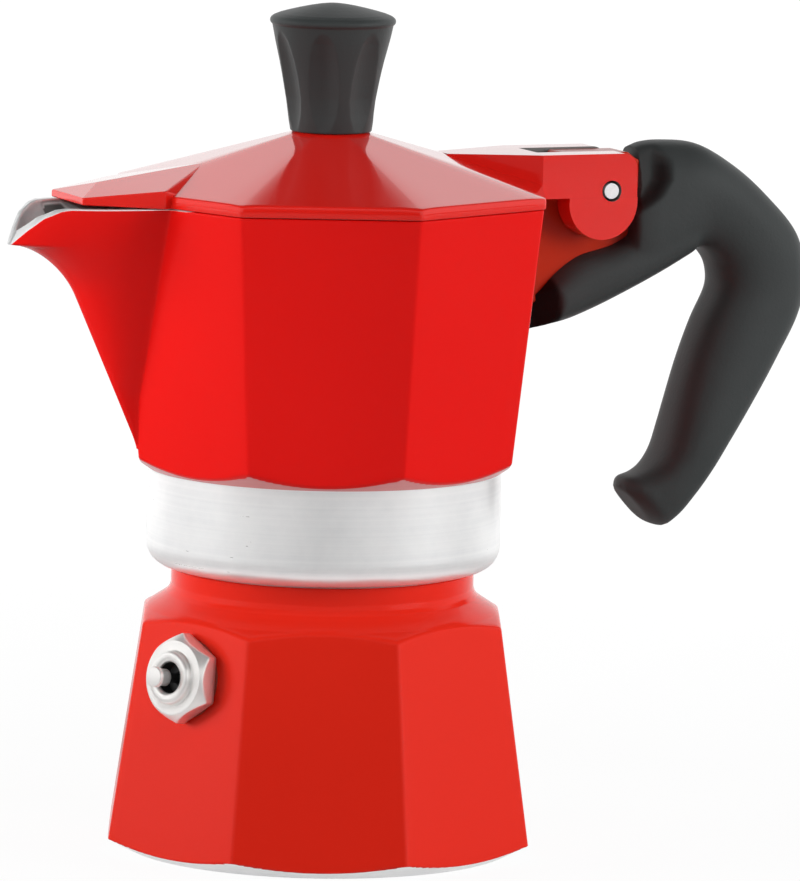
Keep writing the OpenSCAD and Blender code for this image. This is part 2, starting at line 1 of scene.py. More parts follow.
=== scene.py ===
"""Stovetop moka pot: octagonal boiler with a safety valve, screwed collector with a spout,
hinged lid with a fluted knob, and a moulded handle. Sizes in the sections are in millimetres."""
import bpy
import bmesh
import numpy as np
from mathutils import Matrix, Vector


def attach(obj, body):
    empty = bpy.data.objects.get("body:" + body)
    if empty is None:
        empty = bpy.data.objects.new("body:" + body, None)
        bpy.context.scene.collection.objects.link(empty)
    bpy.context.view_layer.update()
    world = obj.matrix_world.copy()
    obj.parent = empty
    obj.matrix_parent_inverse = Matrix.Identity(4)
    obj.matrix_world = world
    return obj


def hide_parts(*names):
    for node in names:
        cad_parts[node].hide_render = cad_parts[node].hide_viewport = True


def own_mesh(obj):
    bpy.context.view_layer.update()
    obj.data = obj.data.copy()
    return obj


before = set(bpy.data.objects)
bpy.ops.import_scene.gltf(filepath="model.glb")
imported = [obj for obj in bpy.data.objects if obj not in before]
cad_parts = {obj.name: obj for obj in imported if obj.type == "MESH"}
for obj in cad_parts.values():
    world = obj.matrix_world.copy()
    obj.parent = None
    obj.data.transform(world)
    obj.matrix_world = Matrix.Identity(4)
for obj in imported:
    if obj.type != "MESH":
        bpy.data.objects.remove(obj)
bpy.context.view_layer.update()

# ---------------------------------------------------------------------------------------------
# Boiler. Cast aluminium, eight tapered facets with soft corners under a glossy red enamel.
# The base chamfer, the screwed neck and the inside are turned and left bare.
# ---------------------------------------------------------------------------------------------
MM, SAME_POINT, NO_LENGTH = 0.001, 2e-6, 1e-7
FACET = np.cos(np.radians(22.5))
SOFT_CORNER = 0.035


def around(fine_spout=False):
    """Angles round the pot. Each 45 degree sector has samples packed at its corner, and the
    spout's side, at 180 degrees, can be sampled more finely."""
    arc = np.degrees(np.arctan(SOFT_CORNER * np.sin(np.radians(22.5)) /
                               ((1 - SOFT_CORNER) / FACET + SOFT_CORNER * FACET)))
    near = np.linspace(-arc, arc, 7)
    far = arc + (22.5 - arc) * np.linspace(0, 1, 10)[1:] ** 1.25
    sector = np.concatenate([-far[::-1][:-1], near, far])
    angles = np.concatenate([45 * k + sector for k in range(8)]) % 360
    if fine_spout:
        angles = angles[np.abs(angles - 180) > 24]
        tight = np.concatenate([np.arange(0, 3, 0.2), np.arange(3, 24.1, 0.35)])
        angles = np.concatenate([angles, 180 + tight, 180 - tight])
    return np.radians(np.unique(np.round(angles, 6)))


def octagon(theta, apothem):
    """Distance from the axis to an octagon with rounded corners on the X and Y axes: the
    facet's apothem over the cosine of the angle from its middle, and near a corner the
    far crossing of the ray with the corner's circle."""
    d = (theta + np.pi / 8) % (np.pi / 4) - np.pi / 8
    corner = SOFT_CORNER * apothem
    centre = (apothem - corner) / FACET
    arc = np.arctan(SOFT_CORNER * np.sin(np.pi / 8) /
                    ((1 - SOFT_CORNER) / FACET + SOFT_CORNER * FACET))
    on_arc = centre * np.cos(d) + np.sqrt(np.maximum(corner ** 2 - (centre * np.sin(d)) ** 2, 0))
    return np.where(np.abs(d) < arc, on_arc, apothem / np.cos(np.pi / 8 - np.abs(d)))


def soft_min(a, b, k):
    """Smaller of two values, blended over a distance k so that their meeting is a soft edge."""
    h = np.clip(0.5 + 0.5 * (b - a) / k, 0, 1)
    return b * (1 - h) + a * h - k * h * (1 - h)


def soft_max(a, b, k):
    """Larger of two values with the same soft meeting."""
    return -soft_min(-a, -b, k)


def band_faces(index):
    """Quads between each row of a grid of point numbers and the next, closed round."""
    a, b = index[:-1], index[1:]
    return np.stack([a, np.roll(a, -1, 1), np.roll(b, -1, 1), b], -1).reshape(-1, 4).tolist()


def mark(mesh, name, values, domain="POINT"):
    """Stores a number on each point or face corner of a mesh, for its material to read."""
    mesh.attributes.new(name, "FLOAT", domain).data.foreach_set(
        "value", np.asarray(values, np.float32).ravel())


def skin(name, points, body, nodes, bare=None, loop=False):
    """Mesh from a grid of points in millimetres. Columns run round and meet; rows run along,
    and meet too when loop is set. Rows that shrink to a point are merged into a pole."""
    index = np.arange(points[..., 0].size).reshape(points.shape[:2])
    if loop:
        index = np.vstack([index, index[:1]])
    mesh = bpy.data.meshes.new(name)
    mesh.from_pydata((points.reshape(-1, 3) * MM).tolist(), [], band_faces(index))
    if bare is not None:
        mark(mesh, "bare", np.broadcast_to(bare, points.shape[:2]))
    return dress(name, mesh, body, nodes)


def dress(name, mesh, body, nodes):
    """Closes a mesh's doubles, turns its faces outwards, and puts it on its body."""
    work = bmesh.new()
    work.from_mesh(mesh)
    bmesh.ops.remove_doubles(work, verts=work.verts, dist=SAME_POINT)
    bmesh.ops.dissolve_degenerate(work, edges=work.edges, dist=NO_LENGTH)
    bmesh.ops.recalc_face_normals(work, faces=work.faces)
    work.to_mesh(mesh)
    work.free()
    mesh.shade_smooth()
    piece = bpy.data.objects.new(name, mesh)
    bpy.context.collection.objects.link(piece)
    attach(piece, body)
    if nodes:
        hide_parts(*nodes)
    return piece


def polar(theta, radius, z):
    """Points from angle, distance from the axis and height, broadcast against each other."""
    theta, r, z = np.broadcast_arrays(theta, radius, z)
    return np.stack([r * np.cos(theta), r * np.sin(theta), z], -1)


def level(theta, radii, z):
    """Turned rows: one radius and one height for the whole circle."""
    return polar(theta, np.asarray(radii)[:, None], np.asarray(z)[:, None])


BASE_R, BASE_H = 30.0, 2.4
BOILER_R, SHOULDER_R, SHOULDER_Z = 34.69, 29.54, 35.7
THREAD_R, NECK_Z, BORE_R = 22.0, 52.4, 19.4
PITCH, THREAD_DEPTH = 2.5, 0.62

turn = around()
z_out = np.concatenate([np.arange(0, 3.6, 0.12), np.linspace(3.6, 34.0, 26),
                        np.arange(34.1, 37.8, 0.09), np.linspace(37.8, 43.0, 40)])
facet_r = octagon(turn[None], ((BOILER_R - (z_out - BASE_H) * (BOILER_R - SHOULDER_R) /
                               (SHOULDER_Z - BASE_H)) * FACET)[:, None])
turned_r = np.interp(z_out, [0, 3.6, 5, 33.6, 35.7, 36.9, 37.6, 38.4, 39.0, 39.6, 40.4, 43.0],
                     [BASE_R, 37.03, 60, 33.8, 29.54, 27.05, 26.0, 24.75, 23.95, 23.5, 23.2, 23.2])
lathe = np.broadcast_to(turned_r[:, None], facet_r.shape)
low = (z_out < 4)[:, None]
outer = np.where(low, soft_min(facet_r, lathe, 0.25), soft_min(facet_r, lathe, 0.9))
bare_out = np.clip((facet_r - lathe) / 0.3 + 0.35, 0, 1) * low
z_thread = np.arange(43.1, NECK_Z - 0.2, 0.18)
phase = (turn[None] / (2 * np.pi) + z_thread[:, None] / PITCH) % 1
ridge = THREAD_R - THREAD_DEPTH * np.clip(1.5 - 3.4 * np.abs(phase - 0.5), 0, 1)
ridge = np.minimum(ridge, THREAD_R - np.clip(z_thread[:, None] - NECK_Z + 0.8, 0, 1) * 0.8)
rest_r = np.array([21.2, 20.9, 19.7, BORE_R, BORE_R, 19.6, 24.0, 28.6, 28.3, 26.6, 20, 10, 0.0])
rest_z = np.array([NECK_Z - 0.15, NECK_Z, NECK_Z, NECK_Z - 0.3, 38.0, 37.6, 34.0, 5.2, 4.0,
                   3.2, 3.2, 3.2, 3.2])
foot_r = np.array([0.0, 14, 25.5, 26, 29.6, 29.9])
foot_z = np.array([0.45, 0.45, 0.45, 0.0, 0.0, 0.03])
rows = [level(turn, foot_r, foot_z), polar(turn, outer, z_out[:, None]),
        polar(turn, ridge, z_thread[:, None]), level(turn, rest_r, rest_z)]
bare = [np.ones(row.shape[:2]) for row in rows]
bare[1] = bare_out
boiler = skin("boiler_casting", np.concatenate(rows), "base", ["boiler"], np.concatenate(bare))


def sockets(group, inputs, outputs):
    """Declares a node group's named inputs, with their values, and its outputs."""
    for name, kind, value in inputs:
        group.interface.new_socket(name, in_out="INPUT",
                                   socket_type="NodeSocket" + kind).default_value = value
    for name, kind in outputs:
        group.interface.new_socket(name, in_out="OUTPUT", socket_type="NodeSocket" + kind)
    return group.nodes.new("NodeGroupInput"), group.nodes.new("NodeGroupOutput")


def give(group, out, *results):
    """Links a group's colour, roughness and height to its outputs."""
    for result, socket in zip(results, out.inputs):
        group.links.new(result, socket)


def add(tree, kind, settings=(), **links):
    """Adds a node. Settings are its properties; links feed its inputs by name, or by number
    as n0, n1 and so on."""
    node = tree.nodes.new(kind)
    for key, value in settings:
        setattr(node, key, value)
    for key, value in links.items():
        numbered = key[0] == "n" and key[1:].isdigit()
        socket = node.inputs[int(key[1:]) if numbered else key.replace("_", " ")]
        if hasattr(value, "is_output"):
            tree.links.new(value, socket)
        else:
            socket.default_value = value
    return node


def blend_colour(tree, factor, first, second):
    """Mixes two colours by a factor and gives the result's socket."""
    return add(tree, "ShaderNodeMix", [("data_type", "RGBA")], n0=factor, n6=first,
               n7=second).outputs[2]


def blend_value(tree, factor, first, second):
    """Mixes two numbers by a factor and gives the result's socket."""
    return add(tree, "ShaderNodeMix", n0=factor, n2=first, n3=second).outputs[0]


def reckon(tree, operation, *values, kind="Math"):
    """Arithmetic on numbers, or on vectors with the kind VectorMath, and the result's socket."""
    links = {f"n{i}": value for i, value in enumerate(values)}
    node = add(tree, "ShaderNode" + kind, [("operation", operation)], **links)
    return node.outputs["Value"]


def remap(tree, value, low, high, to_low=0.0, to_high=1.0):
    """Maps one range of a value to another, held at its ends, and gives the result's socket."""
    return add(tree, "ShaderNodeMapRange", Value=value, From_Min=low, From_Max=high,
               To_Min=to_low, To_Max=to_high).outputs[0]


def noise(tree, place, scale, detail, **more):
    """Noise of a scale per metre on a place, and its socket."""
    return add(tree, "ShaderNodeTexNoise", Vector=place, Scale=scale, Detail=detail,
               **more).outputs["Fac"]


# Enamel shared by the three castings: a broad drift of tone, a faint orange peel and the odd
# fleck of dust under the gloss.
enamel = bpy.data.node_groups.new("Enamel", "ShaderNodeTree")
given, out = sockets(enamel, [("Tone", "Color", (0.6, 0.02, 0.01, 1)),
                              ("Deep tone", "Color", (0.5, 0.01, 0.005, 1)),
                              ("Gloss", "Float", 0.15)],
                     [("Color", "Color"), ("Roughness", "Float"), ("Height", "Float")])
place = add(enamel, "ShaderNodeTexCoord").outputs["Object"]
drift = noise(enamel, place, 22.0, 2.0, Roughness=0.5)
peel = noise(enamel, place, 900.0, 2.0, Roughness=0.6)
fleck = add(enamel, "ShaderNodeTexVoronoi", Vector=place, Scale=420.0, Randomness=1.0)
fleck = remap(enamel, fleck.outputs["Distance"], 0.0, 0.1, 1.0, 0.0)
tone = blend_colour(enamel, drift, given.outputs["Tone"], given.outputs["Deep tone"])
rough = reckon(enamel, "MULTIPLY_ADD", drift, 0.06, given.outputs["Gloss"])
bump = reckon(enamel, "MULTIPLY_ADD", fleck, 0.5, peel)
give(enamel, out, tone, rough, bump)

# Turned or brushed aluminium shared by every bare metal surface: fine rings round the pot's
# axis, a slow drift of tone and small marks from use.
turned = bpy.data.node_groups.new("Turned_metal", "ShaderNodeTree")
given, out = sockets(turned, [("Bright", "Color", (0.8, 0.8, 0.8, 1)),
                              ("Dull", "Color", (0.6, 0.6, 0.6, 1)),
                              ("Ring scale", "Float", 1500.0), ("Base roughness", "Float", 0.3)],
                     [("Color", "Color"), ("Roughness", "Float"), ("Height", "Float")])
place = add(turned, "ShaderNodeTexCoord").outputs["Object"]
split = add(turned, "ShaderNodeSeparateXYZ", Vector=place)
flat = add(turned, "ShaderNodeCombineXYZ", X=split.outputs[0], Y=split.outputs[1], Z=0.0)
reach = reckon(turned, "LENGTH", flat.outputs[0], kind="VectorMath")
line = add(turned, "ShaderNodeCombineXYZ", X=reach, Y=0.0, Z=split.outputs[2])
rings = noise(turned, line.outputs[0], given.outputs["Ring scale"], 3.0, Roughness=0.7)
marks = noise(turned, place, 120.0, 5.0, Roughness=0.7)
mixed = remap(turned, reckon(turned, "MULTIPLY", rings, marks), 0.12, 0.4)
tone = blend_colour(turned, mixed, given.outputs["Bright"], given.outputs["Dull"])
rough = reckon(turned, "MULTIPLY_ADD", mixed, 0.12, given.outputs["Base roughness"])
give(turned, out, tone, rough, rings)


def group(tree, source, **values):
    """Places a shared group in a material with its own values."""
    node = tree.nodes.new("ShaderNodeGroup")
    node.node_tree = source
    for key, value in values.items():
        node.inputs[key.replace("_", " ")].default_value = value
    return node


def new_material(name, **constants):
    """A material with an empty Principled shader; constants go on the shader's own sockets."""
    material = bpy.data.materials.new(name)
    material.use_nodes = True
    shader = material.node_tree.nodes["Principled BSDF"]
    for key, value in constants.items():
        shader.inputs[key.replace("_", " ")].default_value = value
    return material, material.node_tree, shader


def feed(tree, shader, colour, rough, height, strength):
    """Links colour, roughness and a bump of the given strength."""
    tree.links.new(colour, shader.inputs["Base Color"])
    tree.links.new(rough, shader.inputs["Roughness"])
    lump = add(tree, "ShaderNodeBump", Strength=strength, Distance=BUMP_DEPTH,
               Height=height)
    tree.links.new(lump.outputs[0], shader.inputs["Normal"])


def coat(piece, material):
    """Gives a piece its one material."""
    piece.data.materials.clear()
    piece.data.materials.append(material)


# Darker grey for the inside of the castings: partly their as-cast skin, partly painted shade.
AS_CAST_AND_SHADE = (0.2, 0.2, 0.196, 1)
BUMP_DEPTH = 0.0001


def enamelled(name, tone, deep, gloss, clear):
    """Red enamel under a clear coat. Where the mesh's bare value is 1 it gives way to turned
    aluminium, and where that value is 2 to a darker grey: partly the as-cast skin of a casting's
    inside, partly painted shade in the hinge block's slot and bore and inside the closed
    collector."""
    material, tree, shader = new_material(name, IOR=1.22, Coat_IOR=1.4, Coat_Roughness=0.06)
    paint = group(tree, enamel, Tone=tone, Deep_tone=deep, Gloss=gloss)
    metal = group(tree, turned, Bright=(0.97, 0.97, 0.965, 1), Dull=(0.86, 0.865, 0.87, 1),
                  Ring_scale=1400.0, Base_roughness=0.27)
    bare = add(tree, "ShaderNodeAttribute", [("attribute_name", "bare")]).outputs["Fac"]
    mask = remap(tree, bare, 0.42, 0.58)
    tint = blend_colour(tree, remap(tree, bare, 1.3, 1.9), metal.outputs[0], AS_CAST_AND_SHADE)
    shine = reckon(tree, "MULTIPLY", remap(tree, bare, 1.0, 1.2, 0.6, 0.1), mask)
    tree.links.new(shine, shader.inputs["Metallic"])
    tree.links.new(remap(tree, mask, 0.0, 1.0, clear, 0.0), shader.inputs["Coat Weight"])
    feed(tree, shader, blend_colour(tree, mask, paint.outputs[0], tint),
         blend_value(tree, mask, paint.outputs[1], metal.outputs[1]),
         blend_value(tree, mask, paint.outputs[2], metal.outputs[2]), 0.05)
    return material


coat(boiler, enamelled("Boiler_enamel", (0.72, 0.022, 0.01, 1), (0.66, 0.017, 0.007, 1),
                       0.14, 0.0))

# ---------------------------------------------------------------------------------------------
# Collector. One casting with a bare collar, enamelled facets, spout, coffee column and hinge
# bracket. It screws on the boiler's neck; rim, inside and collar are bare.
# ---------------------------------------------------------------------------------------------
RIM_R, RIM_Z, SIDE_SLOPE, WALL = 35.0, 100.0, 0.1103, 2.8
COLLAR_R, COLLAR_Z, COLLAR_TOP, COLLAR_ROUND = 27.1, 43.4, 58.4, 3.4
FLOOR_Z, LIP_WALL, MID_Z = 61.9, 1.5, 84
SPOUT_LOW, SPOUT_SPAN = 62.3, np.radians(27)


def side_apothem(z, inset=0.0):
    """Distance from the axis to the facets at a height, less a wall's thickness."""
    return (RIM_R - inset - SIDE_SLOPE * (RIM_Z - z)) * FACET


def spout_half(z):
    """Half-width of the spout: a straight taper that ends in a thin ridge lower down."""
    return np.maximum(10.75 - 0.325 * (100 - z), 0.133 * (z - 62.2))


def keel(z):
    """Reach of the spout's keel: a straight slope that curls out to a blunt lip."""
    t = np.clip((z - 86) / 8.05, 0, 1)
    return np.minimum(31 + 0.447 * (z - 62.8) + 7.5 * (1 - np.sqrt(1 - t * t)), 52.55)


def eased_keel(z):
    """The keel averaged over a band of height, which keeps the side walls free of its bend."""
    band = np.linspace(-1, 1, 25)
    weight = np.cos(band * np.pi / 2) ** 2
    return (keel(z + band * 7) * weight).sum() / weight.sum()


heights = np.concatenate([np.linspace(SPOUT_LOW, 85, 60), np.arange(85.1, 101.2, 0.1)])
spans = np.radians(np.concatenate([np.arange(0, 3, 0.1), np.arange(3, 32, 0.25)]))


def spout_table(inset):
    """Distance from the axis to the spout's wall on a grid of height and angle from the keel.
    Each section is y = half-width * (1 - u^2.5)^0.65 between the crease and the keel; past the
    crease the line y = half-width carries on inside the facets. The sides follow an eased
    keel and the nose, within 9 degrees of the middle, follows the true one."""
    rows = []
    u = 1 - np.linspace(0, 1, 160) ** 2
    nose = np.clip(spans / np.radians(9), 0, 1)
    nose = nose * nose * (3 - 2 * nose)
    for z in heights:
        half = max(float(spout_half(z)) - inset, 0.03)
        start = float(side_apothem(z) / FACET) - 0.4142 * half - inset * 0.7
        pair = []
        for reach in (keel(z), eased_keel(z)):
            end = max(float(reach) - inset * 1.12, start + 0.02)
            x, y = start + u * (end - start), half * (1 - u ** 2.5) ** 0.65
            turn_to, far = np.arctan2(y, x), np.hypot(x, y)
            order = np.argsort(turn_to)
            r = np.interp(spans, turn_to[order], far[order])
            pair.append(np.where(spans > turn_to.max(),
                                 half / np.sin(np.maximum(spans, 1e-3)), r))
        rows.append(pair[0] * (1 - nose) + pair[1] * nose)
    return np.array(rows)


def look_up(table, z, span):
    """Bilinear reading of a spout table at any heights and angles."""
    i = np.clip(np.interp(z, heights, np.arange(heights.size)), 0, heights.size - 1.001)
    j = np.clip(np.interp(span, spans, np.arange(spans.size)), 0, spans.size - 1.001)
    i0, j0 = i.astype(int), j.astype(int)
    fi, fj = i - i0, j - j0
    near = table[i0, j0] * (1 - fj) + table[i0, j0 + 1] * fj
    far = table[i0 + 1, j0] * (1 - fj) + table[i0 + 1, j0 + 1] * fj
    return near * (1 - fi) + far * fi


spout_out, spout_in = spout_table(0.0), spout_table(LIP_WALL)
go = around(True)
span = np.abs(go - np.pi)


def wall(z, inset, table, blend):
    """Distance from the axis to the collector's wall: facets joined softly to the spout."""
    facets = octagon(np.broadcast_to(go, z.shape), side_apothem(z, inset))
    reach = look_up(table, z, np.broadcast_to(span, z.shape))
    near = (np.broadcast_to(span, z.shape) < SPOUT_SPAN) & (z > SPOUT_LOW)
    return np.where(near, soft_max(facets, reach, blend), facets)


def rim_height(table, inset):
    """Height of the rim at each angle: level, then cut away over the lip on a falling curve
    of height against reach. It is found by stepping height and reach towards each other."""
    z = np.full(go.shape, RIM_Z)
    for _ in range(60):
        x = -wall(z, inset, table, 0.8) * np.cos(go)
        cut = np.interp(x, [45.4, 46.6, 48.8, 50.6, 52.3, 52.7],
                        [100.0, 99.75, 98.5, 96.5, 94.2, 93.4])
        z = 0.7 * z + 0.3 * cut
    return z


top_out, top_in = rim_height(spout_out, 0.0), rim_height(spout_in, WALL)
z_low = np.concatenate([np.arange(COLLAR_TOP, 63.0, 0.12), np.linspace(63.2, MID_Z, 50)])
rise = np.linspace(0, 1, 90)[1:] ** 0.8
z_wall = np.vstack([np.repeat(z_low[:, None], go.size, 1),
                    MID_Z + rise[:, None] * (top_out - 0.22 - MID_Z)[None]])
outside = wall(z_wall, 0.0, spout_out, 0.9)
FLARE_TOP, CHAMFER_HIGHLIGHT = 66, 0.47
chamfer = COLLAR_R + (z_wall - COLLAR_TOP) * 1.477
outside = np.where(z_wall < FLARE_TOP, soft_min(outside, chamfer, 0.5), outside)
lip_out = wall(top_out[None], 0.0, spout_out, 0.9)
lip_in = wall(top_in[None], WALL, spout_in, 0.9)
z_in = np.vstack([MID_Z + rise[::-1, None] * (top_in - 0.22 - MID_Z)[None],
                  np.repeat(np.linspace(MID_Z, FLOOR_Z + 0.1, 50)[:, None], go.size, 1)])
inside = wall(z_in, WALL, spout_in, 0.9)
floor_turn = np.interp(z_in, [FLOOR_Z, FLOOR_Z + 0.8, FLOOR_Z + 2.2, FLOOR_Z + 12, 101],
                       [23.5, 25.6, 27, 34, 60])
inside = soft_min(inside, floor_turn, 0.8)
curl = np.linspace(0, np.pi / 2, 8)
collar_r = np.concatenate([[22.9, 23.4], COLLAR_R - COLLAR_ROUND + COLLAR_ROUND * np.sin(curl),
                           [COLLAR_R] * 9])
collar_z = np.concatenate([[COLLAR_Z] * 2, COLLAR_Z + COLLAR_ROUND - COLLAR_ROUND * np.cos(curl),
                           np.linspace(47.2, 58.1, 8), [58.3]])
in_r = np.array([22.5, 15, 8.2, 7.2, 6.3, 4.7, 4.2, 3.1, 0, 0, 3.1, 3.1, 10, 16.5, 17.3, 22.2,
                 22.3, 22.3, 22.5])
in_z = np.array([61.9, 61.9, 61.9, 62.4, 65, 85, 86.8, 87.7, 88, 86.4, 85.4, 59.0, 57.6, 56.5,
                 56.4, 56.4, 56.2, 44.4, 43.6])
rows = [level(go, collar_r, collar_z), polar(go, outside, z_wall),
        polar(go, lip_out - 0.08, top_out - 0.06), polar(go, lip_out - 0.25, top_out),
        polar(go, lip_in + 0.25, top_in), polar(go, lip_in + 0.08, top_in - 0.06),
        polar(go, inside, z_in), level(go, in_r, in_z)]
bare = [np.ones(row.shape[:2]) for row in rows]
# On the lower chamfer the enamel is mixed about half with bare metal: a pinkish band that is a
# painted highlight along the chamfer.
flare_highlight = CHAMFER_HIGHLIGHT * np.clip((outside + 0.3 - chamfer) / 0.3, 0, 1) * (z_wall < FLARE_TOP)
bare[1][:] = np.where(z_wall < COLLAR_TOP + 0.06, 1, flare_highlight)
bare[2][:] = np.where(span < SPOUT_SPAN, 1.0, 0.0)
bare[3][:] = np.where(span < SPOUT_SPAN, 1.0, 0.3)
# Inside, the wall goes from bare metal near the rim to a darker grey lower down, and the floor and
# column are darker grey: partly the as-cast skin, partly painted shade under the closed lid.
below_rim = top_in[None] - z_in
reach_in = -inside * np.cos(go)
bright_depth = np.interp(reach_in, [38, 41, 44.2, 44.8], [3, 0.5, 0.5, 8])
bare[6][:] = np.maximum(1 + np.clip((below_rim - bright_depth) / 0.6, 0, 1), 1.2 * (reach_in > 44.6))
bare[7][:13] = 2.0
collector = skin("collector_casting", np.concatenate(rows), "upper", ["collector"],
                 np.concatenate(bare), loop=True)


def solid(name, points, faces):
    """Closed mesh of points in millimetres, with its faces turned outwards."""
    mesh = bpy.data.meshes.new(name)
    mesh.from_pydata((points.reshape(-1, 3) * MM).tolist(), [], faces)
    work = bmesh.new()
    work.from_mesh(mesh)
    bmesh.ops.recalc_face_normals(work, faces=work.faces)
    work.to_mesh(mesh)
    work.free()
    return mesh


def plate(name, outline, low, high, axis):
    """Prism of an outline between two levels along Y or Z, in millimetres."""
    outline = np.asarray(outline, float)
    n = len(outline)
    ends = [np.insert(outline, 1 if axis == "Y" else 2, v, axis=1) for v in (low, high)]
    faces = [list(range(n))[::-1], list(range(n, 2 * n))]
    faces += [[i, (i + 1) % n, n + (i + 1) % n, n + i] for i in range(n)]
    return solid(name, np.concatenate(ends), faces)


def finish_modifiers(piece):
    """Bakes a piece's modifiers into its mesh."""
    made = bpy.data.meshes.new_from_object(
        piece.evaluated_get(bpy.context.evaluated_depsgraph_get()))
    piece.modifiers.clear()
    piece.data = made
    return made


def carve(mesh, cuts):
    """Cuts, keeps or joins solids with a mesh in order and gives the resulting mesh."""
    piece = bpy.data.objects.new("carving", mesh)
    bpy.context.collection.objects.link(piece)
    for how, other in cuts:
        tool = bpy.data.objects.new("tool", other)
        bpy.context.collection.objects.link(tool)
        step = piece.modifiers.new("step", "BOOLEAN")
        step.operation, step.solver, step.object = how, "EXACT", tool
        bpy.context.view_layer.update()
        mesh = finish_modifiers(piece)
        bpy.data.objects.remove(tool)
    bpy.data.objects.remove(piece)
    return mesh


def ease_edges(piece, width, angle=30):
    """Rounds a piece's sharp edges with a narrow bevel and keeps its flats flat."""
    bevel = piece.modifiers.new("eased", "BEVEL")
    bevel.width, bevel.segments, bevel.limit_method = width * MM, 3, "ANGLE"
    bevel.angle_limit = np.radians(angle)
    bevel.harden_normals = True
    bpy.context.view_layer.update()
    finish_modifiers(piece)


WINDOW_HALF, WINDOW_LOW, WINDOW_TOP = 2.25, 80.0, 85.0
window = plate("window", [[-WINDOW_HALF, WINDOW_LOW], [WINDOW_HALF, WINDOW_LOW],
                          [WINDOW_HALF, WINDOW_TOP], [-WINDOW_HALF, WINDOW_TOP]], -10, 10, "Y")
collector.data = carve(collector.data, [("DIFFERENCE", window)])
collector.data.shade_smooth()
coat(collector, enamelled("Collector_enamel", (0.72, 0.007, 0.005, 1), (0.66, 0.005, 0.004, 1),
                          0.13, 0.0))

TANG_HALF = 3.25
bracket = plate("hinge_bracket",
                [[32.6, 83], [34.2, 83.6], [40, 87], [46, 89], [52, 90.8], [60, 95], [60, 102.4],
                 [52, 104], [49.6, 105.4], [48.6, 106.2], [38, 106.2], [37, 105.2], [37, 101.4],
                 [35.6, 99.9], [32.6, 99.9]], -TANG_HALF, TANG_HALF, "Y")
bracket = dress("hinge_bracket", bracket, "upper", [])
ease_edges(bracket, 0.35)
# The bracket is a darker red than the collector though it is the same paint: painted shade under
# the hinge block and handle.
coat(bracket, enamelled("Bracket_shaded_enamel", (0.46, 0.026, 0.007, 1), (0.36, 0.02, 0.006, 1),
                        0.15, 0.0))

# ---------------------------------------------------------------------------------------------
# Lid. Cast aluminium under the same enamel: a low eight-sided roof, a beak over the spout and
# a hinge block split by a slot. It turns on the hinge pin.
# ---------------------------------------------------------------------------------------------
LID_R, LID_Z, EDGE_Z, TOP_Z = 35.29, 100.1, 101.9, 109.9
LID_TOP_R, LID_T, KNOB_SEAT = 6.4, 2.0, 5.9
roof_slope = (TOP_Z - EDGE_Z) / ((LID_R - LID_TOP_R) * FACET)


def roof(x, y):
    """Roof height: eight planes that fall to the edge. Their ridges are the planes' smooth
    maximum, a log of summed exponentials whose width grows with the distance from the axis."""
    angles = np.radians(22.5 + 45 * np.arange(8))
    lean = np.stack([x * np.cos(a) + y * np.sin(a) for a in angles])
    k = 0.12 + 0.75 * np.clip((np.hypot(x, y) - 6) / 27, 0, 1)
    far = lean.max(0) + k * np.log(np.exp((lean - lean.max(0)) / k).sum(0))
    return EDGE_Z + roof_slope * (LID_R * FACET - far)


reach = octagon(turn, LID_R * FACET)[None]
out_to = (np.linspace(0, 1, 60) ** 0.9)[1:, None]
r_roof = KNOB_SEAT + out_to * (reach - 0.35 - KNOB_SEAT)
z_roof = roof(r_roof * np.cos(turn), r_roof * np.sin(turn))
edge_top = z_roof[-1:]
edge_r = reach - np.array([[0.2], [0.08], [0], [0], [0.04], [0.12], [0.3], [2.0], [2.1]])
edge_z = np.concatenate([edge_top - 0.06, edge_top - 0.16, edge_top - 0.32,
                         np.repeat([[LID_Z + 0.2], [LID_Z + 0.08], [LID_Z + 0.02], [LID_Z],
                                    [LID_Z], [LID_Z + 0.15]], reach.size, 1)])
r_in = (reach - 2.3) * np.linspace(1, 0.2, 30)[:, None]
z_in_roof = roof(r_in * np.cos(turn), r_in * np.sin(turn)) - LID_T
rows = [level(turn, [0.0, 5.6, 5.85], [110.18, 110.18, 110.1]), polar(turn, r_roof, z_roof),
        polar(turn, edge_r, edge_z), polar(turn, r_in, z_in_roof),
        level(turn, [6.0, 6.0, 0.0], [106.8, 106.5, 106.5])]
lid = skin("lid_casting", np.concatenate(rows), "lid", ["lid"], 0.0)


def wedge(name, corners):
    """Closed solid stretched round a few corner points, in millimetres."""
    mesh = bpy.data.meshes.new(name)
    work = bmesh.new()
    for corner in corners:
        work.verts.new([v * MM for v in corner])
    bmesh.ops.convex_hull(work, input=work.verts)
    bmesh.ops.dissolve_limit(work, angle_limit=0.01, verts=work.verts, edges=work.edges)
    bmesh.ops.recalc_face_normals(work, faces=work.faces)
    work.to_mesh(mesh)
    work.free()
    return mesh


def both_sides(*corners):
    """Corner points and their mirror images across the pot's middle plane."""
    return [[x, s * y, z] for s in (-1, 1) for x, y, z in corners]


def hollow():
    """The space under the beak, which the roof and the beak are both cut by."""
    return wedge("hollow", [[-20, 0, 103.6], [-37, 0, 101.9]] + both_sides(
        (-41.4, 4.6, 100.9), (-41.6, 4.6, 99), (-30.6, 9.6, 101.2), (-30.6, 9.6, 99),
        (-20, 8, 99)))


